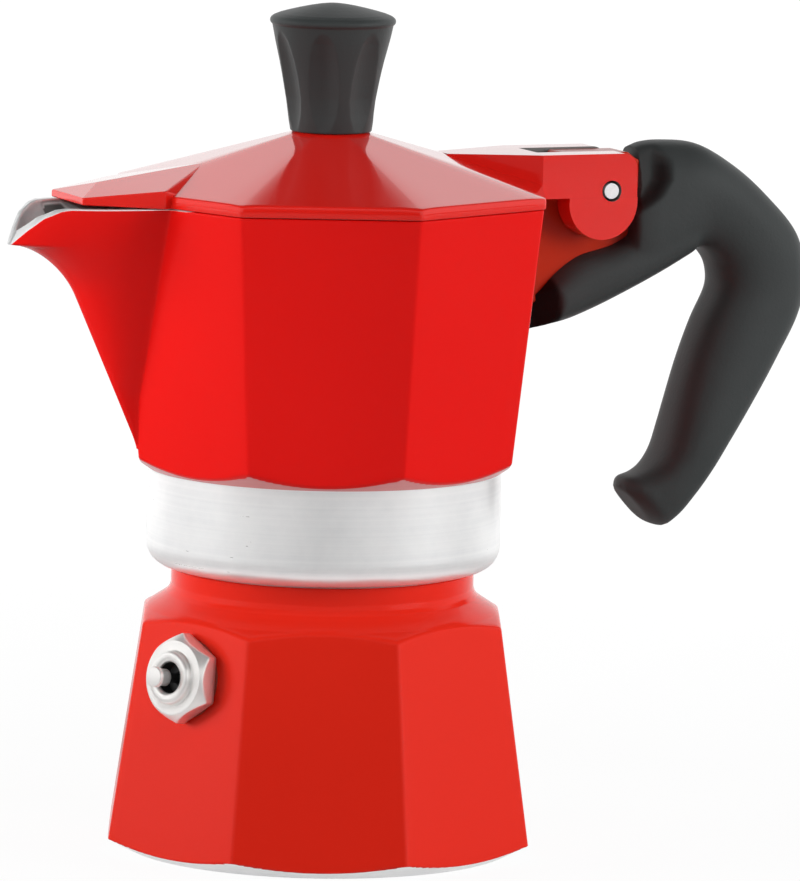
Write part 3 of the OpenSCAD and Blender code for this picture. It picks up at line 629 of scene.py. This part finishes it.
SLOT_HALF = 3.5
slot_outline = [[33, -SLOT_HALF], [60, -SLOT_HALF], [60, SLOT_HALF], [33, SLOT_HALF]]
lid.data = carve(lid.data, [("DIFFERENCE", plate("slot", slot_outline, 90, 112, "Z")),
                            ("DIFFERENCE", hollow())])
lid.data.shade_smooth()
lid.data.set_sharp_from_angle(angle=np.radians(50))
lid_enamel = enamelled("Lid_enamel", (0.7, 0.012, 0.006, 1), (0.64, 0.009, 0.005, 1), 0.1, 1.0)
coat(lid, lid_enamel)
beak = carve(wedge("lid_beak", [[-20.5, 0, 105.8], [-38.1, 0, 103.2]] + both_sides(
    (-43, 6.5, 101.5), (-43, 6.5, 100.4), (-31.7, 11.7, 102.8), (-31.7, 11.7, 100.1),
    (-22, 8, 100.1))), [("DIFFERENCE", hollow())])
beak = dress("lid_beak", beak, "lid", [])
ease_edges(beak, 0.22, angle=9)
coat(beak, lid_enamel)


def arc(cx, cz, r, start, stop, n):
    """Points on a circle between two angles in degrees."""
    a = np.radians(np.linspace(start, stop, n))
    return np.stack([cx + r * np.cos(a), cz + r * np.sin(a)], -1)


PIN_X, PIN_Z, BORE_OF_PIN = 43.8, 100.7, 1.62
BLOCK_HALF, STEP_HALF, STEP_Z = 8, 7.84, 99.72
side_view = np.concatenate([[[15, 101.4]], [[31, 101.4]], [[31, STEP_Z]],
                            arc(42.35, 98.95, 5.75, 172.5, 360, 48),
                            arc(45.6, 103.95, 2.5, 0, 90, 16), [[15, 106.45]]])
plan = [[18.5, -2.2], [32.5, -BLOCK_HALF], [60, -BLOCK_HALF], [60, BLOCK_HALF],
        [32.5, BLOCK_HALF], [18.5, 2.2]]
bore = arc(PIN_X, PIN_Z, BORE_OF_PIN, 0, 352.5, 48)
high = [[30, STEP_Z], [60, STEP_Z], [60, 112], [30, 112]]
corners = np.radians(np.arange(0, 360, 45))
rim_room = plate("rim_room", (RIM_R + 0.35) * np.stack([np.cos(corners), np.sin(corners)], -1),
                 90, 100.4, "Z")
block = carve(plate("hinge_block", side_view, -9, 9, "Y"),
              [("INTERSECT", plate("plan", plan, 88, 112, "Z")),
               ("DIFFERENCE", rim_room),
               ("DIFFERENCE", plate("near_step", high, -12, -STEP_HALF, "Y")),
               ("DIFFERENCE", plate("far_step", high, STEP_HALF, 12, "Y")),
               ("DIFFERENCE", plate("slot", slot_outline, 80, 112, "Z")),
               ("DIFFERENCE", plate("bore", bore, -12, 12, "Y"))])
block.name = "hinge_block"
block = dress("hinge_block", block, "lid", [])
ease_edges(block, 0.16, angle=15)
# The walls of the slot and of the pin's bore take the darker grey: painted shade in the slot and
# round the pin.
slot_and_bore_shade = np.zeros(len(block.data.loops), np.float32)
for face in block.data.polygons:
    cx, cy, cz = np.array(face.center) * 1000
    in_bore = np.hypot(cx - PIN_X, cz - PIN_Z) < BORE_OF_PIN + 0.04 and abs(face.normal.y) < 0.5
    in_slot = abs(cy) < SLOT_HALF + 0.02 and abs(face.normal.z) < 0.3 and 32.9 < cx < 50
    slot_and_bore_shade[face.loop_start:face.loop_start + face.loop_total] = 2.0 * (in_slot or in_bore)
mark(block.data, "bare", slot_and_bore_shade, "CORNER")
coat(block, lid_enamel)

# ---------------------------------------------------------------------------------------------
# Knob. Moulded phenolic with seven flutes that come to a point under its head, held from below
# by a screw through the lid.
# ---------------------------------------------------------------------------------------------
knob_z = np.array([110.2, 110.3, 111.0, 111.8, 113.3, 114.9, 116.4, 117.9, 119.4, 121, 122.5,
                   124, 125.5, 126.35, 126.45, 126.55, 126.75, 127.0, 127.25, 127.5, 127.75, 128.1,
                   128.5, 128.9, 129.25, 129.5, 129.65, 129.7])
knob_r = np.array([6.1, 6.22, 6.35, 6.5, 6.7, 6.93, 7.2, 7.47, 7.75, 8.08, 8.42,
                   8.76, 9.05, 9.22, 9.26, 9.4, 9.55, 9.6, 9.56, 9.4, 9.05, 8.2,
                   6.8, 5.2, 3.6, 2.2, 1.0, 0.0])
pick = np.concatenate([[0], np.cumsum(np.hypot(np.diff(knob_z), np.diff(knob_r)))])
along = np.linspace(0, pick[-1], 190)
kz, kr = np.interp(along, pick, knob_z), np.interp(along, pick, knob_r)
kt = np.radians(np.arange(0, 360, 1.0))
FLUTES, FLUTE_TURN, FLUTE_R, KNOB_FOOT = 7, np.radians(-122.4), 2.9, 110.2
half_pitch = np.pi / FLUTES
flute = (kt[None] - FLUTE_TURN + half_pitch) % (2 * half_pitch) - half_pitch
depth = np.interp(kz, [110.2, 111.0, 113.0, 115.5, 118.5, 121.5, 124.0, 125.6, 125.9],
                  [0.0, 0.2, 0.62, 0.92, 0.95, 0.8, 0.48, 0.0, -0.5])[:, None]
bowl = kr[:, None] - depth + (kr[:, None] * np.sin(flute)) ** 2 / (2 * FLUTE_R)
fluted = soft_min(kr[:, None], bowl, 0.1)
rows = [level(kt, [0.0, 4.0], [KNOB_FOOT, KNOB_FOOT]), polar(kt, fluted, kz[:, None])]
knob = skin("fluted_knob", np.concatenate(rows), "lid", ["knob"])


# Phenolic moulding shared by knob and handle: a charcoal body with a fine stippled skin, faint
# flow marks and slightly polished high spots.
moulding = bpy.data.node_groups.new("Moulded_phenolic", "ShaderNodeTree")
given, out = sockets(moulding, [("Body", "Color", (0.05, 0.05, 0.05, 1)),
                                ("Flow", "Color", (0.03, 0.03, 0.03, 1)),
                                ("Sheen roughness", "Float", 0.4)],
                     [("Color", "Color"), ("Roughness", "Float"), ("Height", "Float")])
place = add(moulding, "ShaderNodeTexCoord").outputs["Object"]
flow = noise(moulding, place, 60.0, 4.0, Distortion=0.8)
grain = noise(moulding, place, 1800.0, 2.0)
rough = reckon(moulding, "MULTIPLY_ADD", flow, 0.14, given.outputs["Sheen roughness"])
tone = blend_colour(moulding, flow, given.outputs["Body"], given.outputs["Flow"])
give(moulding, out, tone, rough, grain)


def phenolic(name, body, flow_tone, sheen):
    """Charcoal phenolic with its own tones, painted near-black and dull where the mesh's recess
    value is 1: painted shade in the hollow beside the hinge and on the arm's end by the pot.
    """
    material, tree, shader = new_material(name, IOR=1.27)
    base = group(tree, moulding, Body=body, Flow=flow_tone, Sheen_roughness=sheen)
    recess_shade = add(tree, "ShaderNodeAttribute", [("attribute_name", "recess_shade")]).outputs["Fac"]
    feed(tree, shader, blend_colour(tree, recess_shade, base.outputs[0], (0.004, 0.0045, 0.0045, 1)),
         blend_value(tree, recess_shade, base.outputs[1], 0.75), base.outputs[2], 0.25)
    return material


coat(knob, phenolic("Knob_phenolic", (0.047, 0.052, 0.052, 1), (0.033, 0.036, 0.036, 1), 0.36))

# ---------------------------------------------------------------------------------------------
# Handle. Moulded phenolic bar that bends from the grip over the hinge and down an arm to the
# pot; it is pressed on the collector's bracket. Two lofted bars are fused into one skin.
# ---------------------------------------------------------------------------------------------


def bar(stations, samples, n=48):
    """Rounded bar through stations of inner point, outer point and half-thickness: the
    stations are joined by a smooth curve, and each section is a rounded oblong whose corners
    follow a power of 0.8 of the circle's sine and cosine."""
    s = np.asarray(stations, float)
    t = np.concatenate([[0], np.cumsum(np.hypot(*np.diff((s[:, :2] + s[:, 2:4]) / 2, axis=0).T))])
    slope = np.gradient(s, t, axis=0)
    q = np.linspace(0, t[-1], samples)
    i = np.clip(np.searchsorted(t, q) - 1, 0, len(t) - 2)
    h = (t[i + 1] - t[i])[:, None]
    f = (q - t[i])[:, None] / h
    at = ((2 * f ** 3 - 3 * f ** 2 + 1) * s[i] + (f ** 3 - 2 * f ** 2 + f) * h * slope[i] +
          (3 * f ** 2 - 2 * f ** 3) * s[i + 1] + (f ** 3 - f ** 2) * h * slope[i + 1])
    a = np.linspace(0, 2 * np.pi, n, endpoint=False)
    c, d = np.cos(a), np.sin(a)
    p, w = np.sign(c) * np.abs(c) ** 0.8, np.sign(d) * np.abs(d) ** 0.8
    middle, half = (at[:, :2] + at[:, 2:4]) / 2, (at[:, 2:4] - at[:, :2]) / 2
    x = middle[:, :1] + half[:, :1] * p
    z = middle[:, 1:] + half[:, 1:] * p
    return np.stack([x, at[:, 4:5] * w, z], -1)


def closed_bar(name, rings):
    """Mesh of a bar with both ends closed."""
    index = np.arange(rings[..., 0].size).reshape(rings.shape[:2])
    ends = [index[0][::-1].tolist(), index[-1].tolist()]
    return solid(name, rings, band_faces(index) + ends)


def points_of(mesh):
    """A mesh's points in millimetres."""
    at = np.empty(len(mesh.vertices) * 3)
    mesh.vertices.foreach_get("co", at)
    return at.reshape(-1, 3) * 1000


def hinge_edge(z):
    """Distance from the axis, at a height, of the line where the moulding narrows at the hinge."""
    return np.interp(z, [95, 97.4, 99.5, 102, 105, 107.5], [43, 48.6, 51.6, 53.3, 53.6, 52.4])


def off_pot(at):
    """Distance of points from the pot's corner, plus a quarter of their height over 85 mm."""
    return at[:, 0] - (RIM_R - SIDE_SLOPE * (RIM_Z - at[:, 2])) + 0.25 * (at[:, 2] - 85)


G, ARM_HALF = 7.5, 6.8
REACH_X, VOXEL, ARM_TOP, NARROWED = 79.88, 0.00042, 93, 0.64
grip = bar([[49.4, 53.6, 54.4, 47.9, G * 0.45], [50.1, 54.9, 56.2, 47.3, G * 0.72],
            [52.3, 55.6, 58.2, 48.4, G * 0.84], [54.7, 56.9, 61.5, 52.2, G * 0.93],
            [56.3, 59.2, 64.3, 56, G * 0.97], [57.5, 63, 67, 60.1, G],
            [58.4, 66.6, 70.2, 65, G], [60.3, 73.4, 75.5, 73.9, G],
            [62.5, 79.3, 79.1, 81.1, G], [64.9, 84.3, 79.9, 86.8, G],
            [64.8, 87.2, 78.2, 93, G], [63.9, 89.1, 73, 98.9, G],
            [62.4, 90.5, 67.1, 103.8, G], [61, 90.8, 61.4, 107, G],
            [58.4, 89.3, 56.5, 107.6, G], [55, 87.3, 52.4, 107.4, G],
            [52.4, 86, 50.9, 106.9, G], [50.6, 85.5, 49.2, 106.3, G * 0.97],
            [49.4, 85.2, 48.2, 106, G * 0.93]], 160)
arm = bar([[60.3, 90.2, 57.5, 98, G * 0.9], [55, 87.3, 51.9, 95.4, ARM_HALF],
           [49.2, 84.5, 46.2, 92.2, ARM_HALF], [42.7, 81.6, 39.8, 90.3, ARM_HALF],
           [38.7, 80.2, 36.6, 88, ARM_HALF], [34.6, 79.4, 33.6, 84.9, ARM_HALF],
           [29.5, 78.2, 29.3, 81.8, ARM_HALF]], 70)
handle = dress("handle_moulding", carve(closed_bar("grip", grip),
               [("UNION", closed_bar("arm", arm))]), "upper", ["handle"])
remesh = handle.modifiers.new("fuse", "REMESH")
remesh.mode, remesh.voxel_size = "VOXEL", VOXEL
even = handle.modifiers.new("even", "SMOOTH")
even.factor, even.iterations = 0.5, 12
bpy.context.view_layer.update()
finish_modifiers(handle)
at = points_of(handle.data)
at[:, 0] = np.minimum(at[:, 0], REACH_X)
swell = np.clip((at[:, 0] - hinge_edge(at[:, 2]) + 1.2) / 2.4, 0, 1)
swell = swell * swell * (3 - 2 * swell)
swell = np.maximum(swell, np.clip((at[:, 2] - 104.5) / 3, 0, 1) ** 2)
taper = np.clip(3.4 + off_pot(at) * 1.05, 2.5, 9)
at_hinge = (at[:, 2] > 94) & (at[:, 0] > 42)
at[:, 1] *= np.where(at_hinge, NARROWED + (1 - NARROWED) * swell, 1)
on_arm = (at[:, 2] < ARM_TOP) & (at[:, 0] < 45)
at[:, 1] = np.where(on_arm, np.sign(at[:, 1]) * soft_min(np.abs(at[:, 1]), taper, 0.5), at[:, 1])
handle.data.vertices.foreach_set("co", (at * MM).ravel())
z_cut = np.array([70, 99.0])
pot_cut = octagon(turn[None], (side_apothem(z_cut) + 0.05)[:, None])
pot_side = closed_bar("pot_side", polar(turn, pot_cut, z_cut[:, None]))
hinge_room = plate("hinge_room", arc(PIN_X, PIN_Z, 6.5, 0, 354, 60), -12, 12, "Y")
lid_room = plate("lid_room", [[40, PIN_Z], [50.35, PIN_Z], [50.6, 112], [40, 112]], -12, 12, "Y")
handle.data = carve(handle.data, [("DIFFERENCE", pot_side), ("DIFFERENCE", hinge_room),
                                  ("DIFFERENCE", lid_room)])
handle.data.shade_smooth()
at = points_of(handle.data)
# Marks for the material's painted shade: near-black on the step round the hollow beside the hinge
# and on the arm's tapered end by the pot.
step = np.clip(1 - np.abs(at[:, 0] - hinge_edge(at[:, 2])) / 1.7, 0, 1)
step *= np.clip((at[:, 2] - 95) / 2, 0, 1) * np.clip((106 - at[:, 2]) / 2, 0, 1) * 0.8
shaded_taper = np.clip((3.1 - off_pot(at)) / 0.6, 0, 1) * (at[:, 2] < ARM_TOP)
mark(handle.data, "recess_shade", np.maximum(step, shaded_taper))
coat(handle, phenolic("Handle_phenolic", (0.047, 0.051, 0.051, 1), (0.032, 0.035, 0.035, 1), 0.4))

# ---------------------------------------------------------------------------------------------
# Safety valve. Nickel-plated brass: a chamfered hexagon with a rounded guard ring round the
# spring-loaded pin, screwed into the boiler's facet at a right angle to it.
# ---------------------------------------------------------------------------------------------
VALVE_Z, FACE_TO = 28.5, np.radians(-157.5)
tilt = np.arctan((BOILER_R - SHOULDER_R) / (SHOULDER_Z - BASE_H) * FACET)
face_r = (BOILER_R - (VALVE_Z - BASE_H) * (BOILER_R - SHOULDER_R) / (SHOULDER_Z - BASE_H)) * FACET
side = np.array([-np.sin(FACE_TO), np.cos(FACE_TO), 0])
out_of = np.array([np.cos(FACE_TO) * np.cos(tilt), np.sin(FACE_TO) * np.cos(tilt), np.sin(tilt)])
above = np.cross(out_of, side)
facet_point = np.array([face_r * np.cos(FACE_TO), face_r * np.sin(FACE_TO), VALVE_Z])


def on_valve(points):
    """Places points given as (across, up, out of the facet) on the valve's axis."""
    return (facet_point + points[..., 0:1] * side + points[..., 1:2] * above +
            points[..., 2:3] * out_of)


HEX_TURN, HEX_HALF, HEX_CORNER, HEX_FRONT, RING_FRONT = 34, 6.0, 6.86, 3.6, 4.75
near_corners = np.arange(HEX_TURN, 360, 60)[:, None] + [-1, -0.5, 0, 0.5, 1]
spin = np.radians(np.unique(np.concatenate([np.arange(0, 360, 3.0), near_corners.ravel()])))
to_corner = (spin - np.radians(HEX_TURN) + np.pi / 6) % (np.pi / 3) - np.pi / 6
hexagon = soft_min(HEX_HALF / np.cos(np.pi / 6 - np.abs(to_corner)), HEX_CORNER, 0.08)
up_hex = np.concatenate([[0.5, 0.6, 1.2], np.arange(1.6, 3.56, 0.08), [3.58, HEX_FRONT]])
r_hex = soft_min(hexagon, 5.65 + (HEX_FRONT - up_hex[:, None]) * 0.8, 0.1)
r_hex[0] -= 0.12
r_hex[-1] -= 0.1
ring_r = np.array([5.3, 4.3, 4.12, 4.05, 4.05, 4.0, 3.85, 3.6, 3.3, 3.0, 2.7, 2.48, 2.36, 2.35,
                   2.35, 1.2, 1.2])
ring_z = np.array([HEX_FRONT, HEX_FRONT, HEX_FRONT + 0.04, HEX_FRONT + 0.2, 4.2, 4.45, 4.64,
                   RING_FRONT, RING_FRONT, RING_FRONT, RING_FRONT - 0.06, 4.5, 4.2, 4.0, -3.5,
                   -3.5, -6.0])
shank_r = np.array([4.4, 4.4, 5.0])
shank_z = np.array([-6.0, 0.5, 0.5])
rows = [level(spin, shank_r, shank_z), polar(spin, r_hex, up_hex[:, None]),
        level(spin, ring_r, ring_z)]
# Inside the guard ring the bore is painted black: painted shade down the bore.
painted_bore_shade = np.clip((4.4 - ring_z) / 0.3, 0, 1) * (ring_r < 3)
painted_bore_shade = np.concatenate([np.zeros(shank_r.size + up_hex.size), painted_bore_shade])
valve = skin("valve_nut", on_valve(np.concatenate(rows)), "base", ["valve_body"],
             painted_bore_shade[:, None], loop=True)
pin_r = np.array([0, 2.2, 2.28, 2.28, 2.2, 1.0, 1.0, 0.75, 0.75, 1.2, 1.3, 1.3, 1.47, 1.57,
                  1.57, 1.5, 1.38, 0])
pin_z = np.array([-2.9, -2.9, -2.84, -2.06, -2, -2, 2.0, 2.3, 5.1, 5.12, 5.22, 6.85, 6.88, 6.98,
                  7.6, 7.72, 7.75, 7.75])
# The pin is painted black where it stands back inside the bore: painted shade.
relief_pin = skin("relief_pin", on_valve(level(spin, pin_r, pin_z)), "valve", ["valve_pin"],
                  (pin_z[:, None] < 5.2) * 1.0)
WIRE_R, COIL_R, DISC_Z, SPRING_TOP, TRAVEL = 0.22, 1.7, -2.0, 1.45, 1.5
COILS, COIL_STEPS, SPRING_GAP = 3.5, 113, 0.02
run = np.linspace(0, 2 * np.pi * COILS, COIL_STEPS)
wire_turn = np.linspace(0, 2 * np.pi, 8, endpoint=False)
wire_r = np.full(COIL_STEPS + 2, WIRE_R)
wire_r[[0, -1]] = 0.0
run = np.concatenate([run[:1], run, run[-1:]])[:, None]
rise_z = DISC_Z + WIRE_R + SPRING_GAP + run / run.max() * (
    SPRING_TOP - DISC_Z - 2 * WIRE_R - SPRING_GAP)
spring_points = polar(run, COIL_R + wire_r[:, None] * np.cos(wire_turn),
                      rise_z + wire_r[:, None] * np.sin(wire_turn))
relief_spring = skin("relief_spring", on_valve(spring_points), "valve", ["valve_spring"])
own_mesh(relief_spring)

# ---------------------------------------------------------------------------------------------
# Bought-in and pressed parts: valve, funnel, seals, filter plate, hinge pin and knob fixings.
# They keep the solids' own shapes, with plated brass, steel, drawn aluminium, rubber and fibre.
# ---------------------------------------------------------------------------------------------


def metal(name, bright, dull, rings, rough, metallic=1.0, lines=0.1):
    """Bare metal with turned or drawn lines, painted black and dull where the mesh's bare value
    is 1: painted shade down the valve's bore.
    """
    material, tree, shader = new_material(name)
    base = group(tree, turned, Bright=bright, Dull=dull, Ring_scale=rings, Base_roughness=rough)
    bore = add(tree, "ShaderNodeAttribute", [("attribute_name", "bare")]).outputs["Fac"]
    tree.links.new(remap(tree, bore, 0.0, 1.0, metallic, 0.0), shader.inputs["Metallic"])
    feed(tree, shader, blend_colour(tree, bore, base.outputs[0], (0.01, 0.01, 0.01, 1)),
         blend_value(tree, bore, base.outputs[1], 0.8), base.outputs[2], lines)
    return material


def soft(name, body, flow_tone, rough):
    """Rubber or fibre: a mottled matt body with a fine grain."""
    material, tree, shader = new_material(name, IOR=1.45)
    base = group(tree, moulding, Body=body, Flow=flow_tone, Sheen_roughness=rough)
    feed(tree, shader, *base.outputs[:3], 0.3)
    return material


plated = metal("Plated_brass", (0.9, 0.885, 0.86, 1), (0.8, 0.785, 0.77, 1), 250.0, 0.27, 0.7,
               0.02)
coat(valve, plated)
coat(relief_pin, plated)
oiled = metal("Oiled_steel", (0.1, 0.1, 0.1, 1), (0.05, 0.05, 0.05, 1), 600.0, 0.5, 0.6)
coat(relief_spring, oiled)
finishes = {
    metal("Bright_steel", (0.9, 0.9, 0.9, 1), (0.75, 0.75, 0.76, 1), 1600.0, 0.35, 0.4):
        ["hinge_pin", "knob_washer", "knob_screw"],
    oiled: ["valve_retainer"],
    metal("Drawn_aluminium", (0.8, 0.8, 0.8, 1), (0.62, 0.62, 0.63, 1), 700.0, 0.3):
        ["funnel_cup", "funnel_stem", "funnel_disc", "filter_plate"],
    metal("Insert_brass", (0.75, 0.56, 0.28, 1), (0.55, 0.4, 0.2, 1), 900.0, 0.3):
        ["knob_insert"],
    soft("Seal_rubber", (0.78, 0.76, 0.71, 1), (0.7, 0.68, 0.62, 1), 0.55): ["gasket"],
    soft("Valve_rubber", (0.02, 0.02, 0.02, 1), (0.03, 0.03, 0.03, 1), 0.6): ["valve_seal"],
    soft("Washer_fibre", (0.3, 0.06, 0.04, 1), (0.2, 0.04, 0.03, 1), 0.7): ["valve_washer"],
}
for finish_material, names in finishes.items():
    for name in names:
        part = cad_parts[name]
        part.data.materials.clear()
        part.data.materials.append(finish_material)

# ---------------------------------------------------------------------------------------------
# Floor, backdrop, light and camera. A pale plain floor, a white surround, three soft lamps and
# a snooted one on the spout.
# ---------------------------------------------------------------------------------------------
floor_mesh = bpy.data.meshes.new("floor")
FLOOR_HALF = 6
floor_mesh.from_pydata([(-FLOOR_HALF, -FLOOR_HALF, 0), (FLOOR_HALF, -FLOOR_HALF, 0),
                        (FLOOR_HALF, FLOOR_HALF, 0), (-FLOOR_HALF, FLOOR_HALF, 0)], [],
                       [(0, 1, 2, 3)])
floor = bpy.data.objects.new("floor", floor_mesh)
bpy.context.collection.objects.link(floor)
BEHIND = (0.4, 0.916, 0.0)
paper, tree, shader = new_material("Floor_paper", Roughness=0.9, Base_Color=(0.5, 0.5, 0.5, 1))
paths = add(tree, "ShaderNodeLightPath")
glow = add(tree, "ShaderNodeEmission", Color=(1, 1, 1, 1), Strength=1.05)
spot = add(tree, "ShaderNodeTexCoord").outputs["Object"]
back = remap(tree, reckon(tree, "DOT_PRODUCT", spot, BEHIND, kind="VectorMath"), 0.05, 0.3)
far_off = reckon(tree, "LENGTH", spot, kind="VectorMath")
near = remap(tree, far_off, 0.05, 0.11, 0.7, 0.0)
mirrored = reckon(tree, "MAXIMUM", near, back)
mirrored = reckon(tree, "MULTIPLY", paths.outputs["Is Glossy Ray"], mirrored)
white = remap(tree, far_off, 0.1, 0.5, 0.9, 0.98)
share = reckon(tree, "MULTIPLY_ADD", paths.outputs["Is Camera Ray"], white, mirrored)
both = add(tree, "ShaderNodeMixShader", n0=share, n1=shader.outputs[0], n2=glow.outputs[0])
tree.links.new(both.outputs[0], tree.nodes["Material Output"].inputs["Surface"])
floor.data.materials.append(paper)

world = bpy.data.worlds.new("Studio")
bpy.context.scene.world = world
world.use_nodes = True
tree = world.node_tree
sky = tree.nodes["Background"]
way = add(tree, "ShaderNodeTexCoord").outputs["Generated"]
ahead = reckon(tree, "DOT_PRODUCT", way, BEHIND, kind="VectorMath")
paths = add(tree, "ShaderNodeLightPath")
behind = remap(tree, ahead, 0.1, 0.5)
beside = remap(tree, ahead, -0.985, -0.93)
behind = blend_value(tree, paths.outputs["Is Glossy Ray"], behind, beside)
tall = add(tree, "ShaderNodeSeparateXYZ", Vector=way)
under_top = remap(tree, tall.outputs[2], 0.57, 0.635, 1.0, 0.0)
level_of = remap(tree, reckon(tree, "MULTIPLY", behind, under_top), 0.0, 1.0, 0.08, 1.0)
strength = blend_value(tree, paths.outputs["Is Camera Ray"], level_of, 1.0)
tree.links.new(strength, sky.inputs["Strength"])
sky.inputs["Color"].default_value = (1, 1, 1, 1)


def lamp(kind, name, place, aim, power, **settings):
    """Lamp turned from its place to a point, both in metres, with its power in watts and the
    light's own settings. Gloss doesn't show it."""
    light = bpy.data.lights.new(name, kind)
    light.energy = power
    for key, value in settings.items():
        setattr(light, key, value)
    thing = bpy.data.objects.new(name, light)
    bpy.context.collection.objects.link(thing)
    thing.location = place
    thing.rotation_euler = (Vector(aim) - Vector(place)).to_track_quat("-Z", "Y").to_euler()
    thing.visible_glossy = False


POT_MIDDLE = (0, 0, 0.06)
lamp("AREA", "left_box", (-1.12, 0.24, 0.22), POT_MIDDLE, 15.5, shape="RECTANGLE", size=0.7,
     size_y=0.8)
lamp("AREA", "right_box", (0.83, -0.775, 0.22), POT_MIDDLE, 15, shape="RECTANGLE", size=0.6,
     size_y=0.8)
lamp("AREA", "top_box", (-0.3, -0.7, 1.1), POT_MIDDLE, 4, shape="RECTANGLE", size=0.9,
     size_y=0.5)
lamp("SPOT", "spout_snoot", (-0.84, -0.67, 0.4), (-0.05, -0.004, 0.086), 30,
     spot_size=np.radians(5), spot_blend=1.0, shadow_soft_size=0.04)

azimuth, elevation, roll = np.radians([-23.625, 7.711, 1.174])
target, CAMERA_AWAY = np.array([10.523, -4.603, 62.751]), 1298.3
SENSOR, FOCAL_PIXELS, FRAME_PIXELS = 36.0, 8480, 881
forward = np.array([-np.sin(azimuth) * np.cos(elevation),
                    np.cos(azimuth) * np.cos(elevation), -np.sin(elevation)])
right = np.array([np.cos(azimuth), np.sin(azimuth), 0])
up = np.cross(right, forward)
right, up = right * np.cos(roll) + up * np.sin(roll), up * np.cos(roll) - right * np.sin(roll)
lens = bpy.data.cameras.new("camera")
lens.sensor_width, lens.lens = SENSOR, FOCAL_PIXELS / FRAME_PIXELS * SENSOR
lens.clip_start, lens.clip_end = 0.1, 30
camera = bpy.data.objects.new("camera", lens)
bpy.context.collection.objects.link(camera)
turned_to = np.eye(4)
turned_to[:3, 0], turned_to[:3, 1], turned_to[:3, 2] = right, up, -forward
turned_to[:3, 3] = (target - forward * CAMERA_AWAY) * MM
camera.matrix_world = Matrix(turned_to.tolist())
bpy.context.scene.camera = camera
bpy.context.scene.view_settings.view_transform = "Standard"
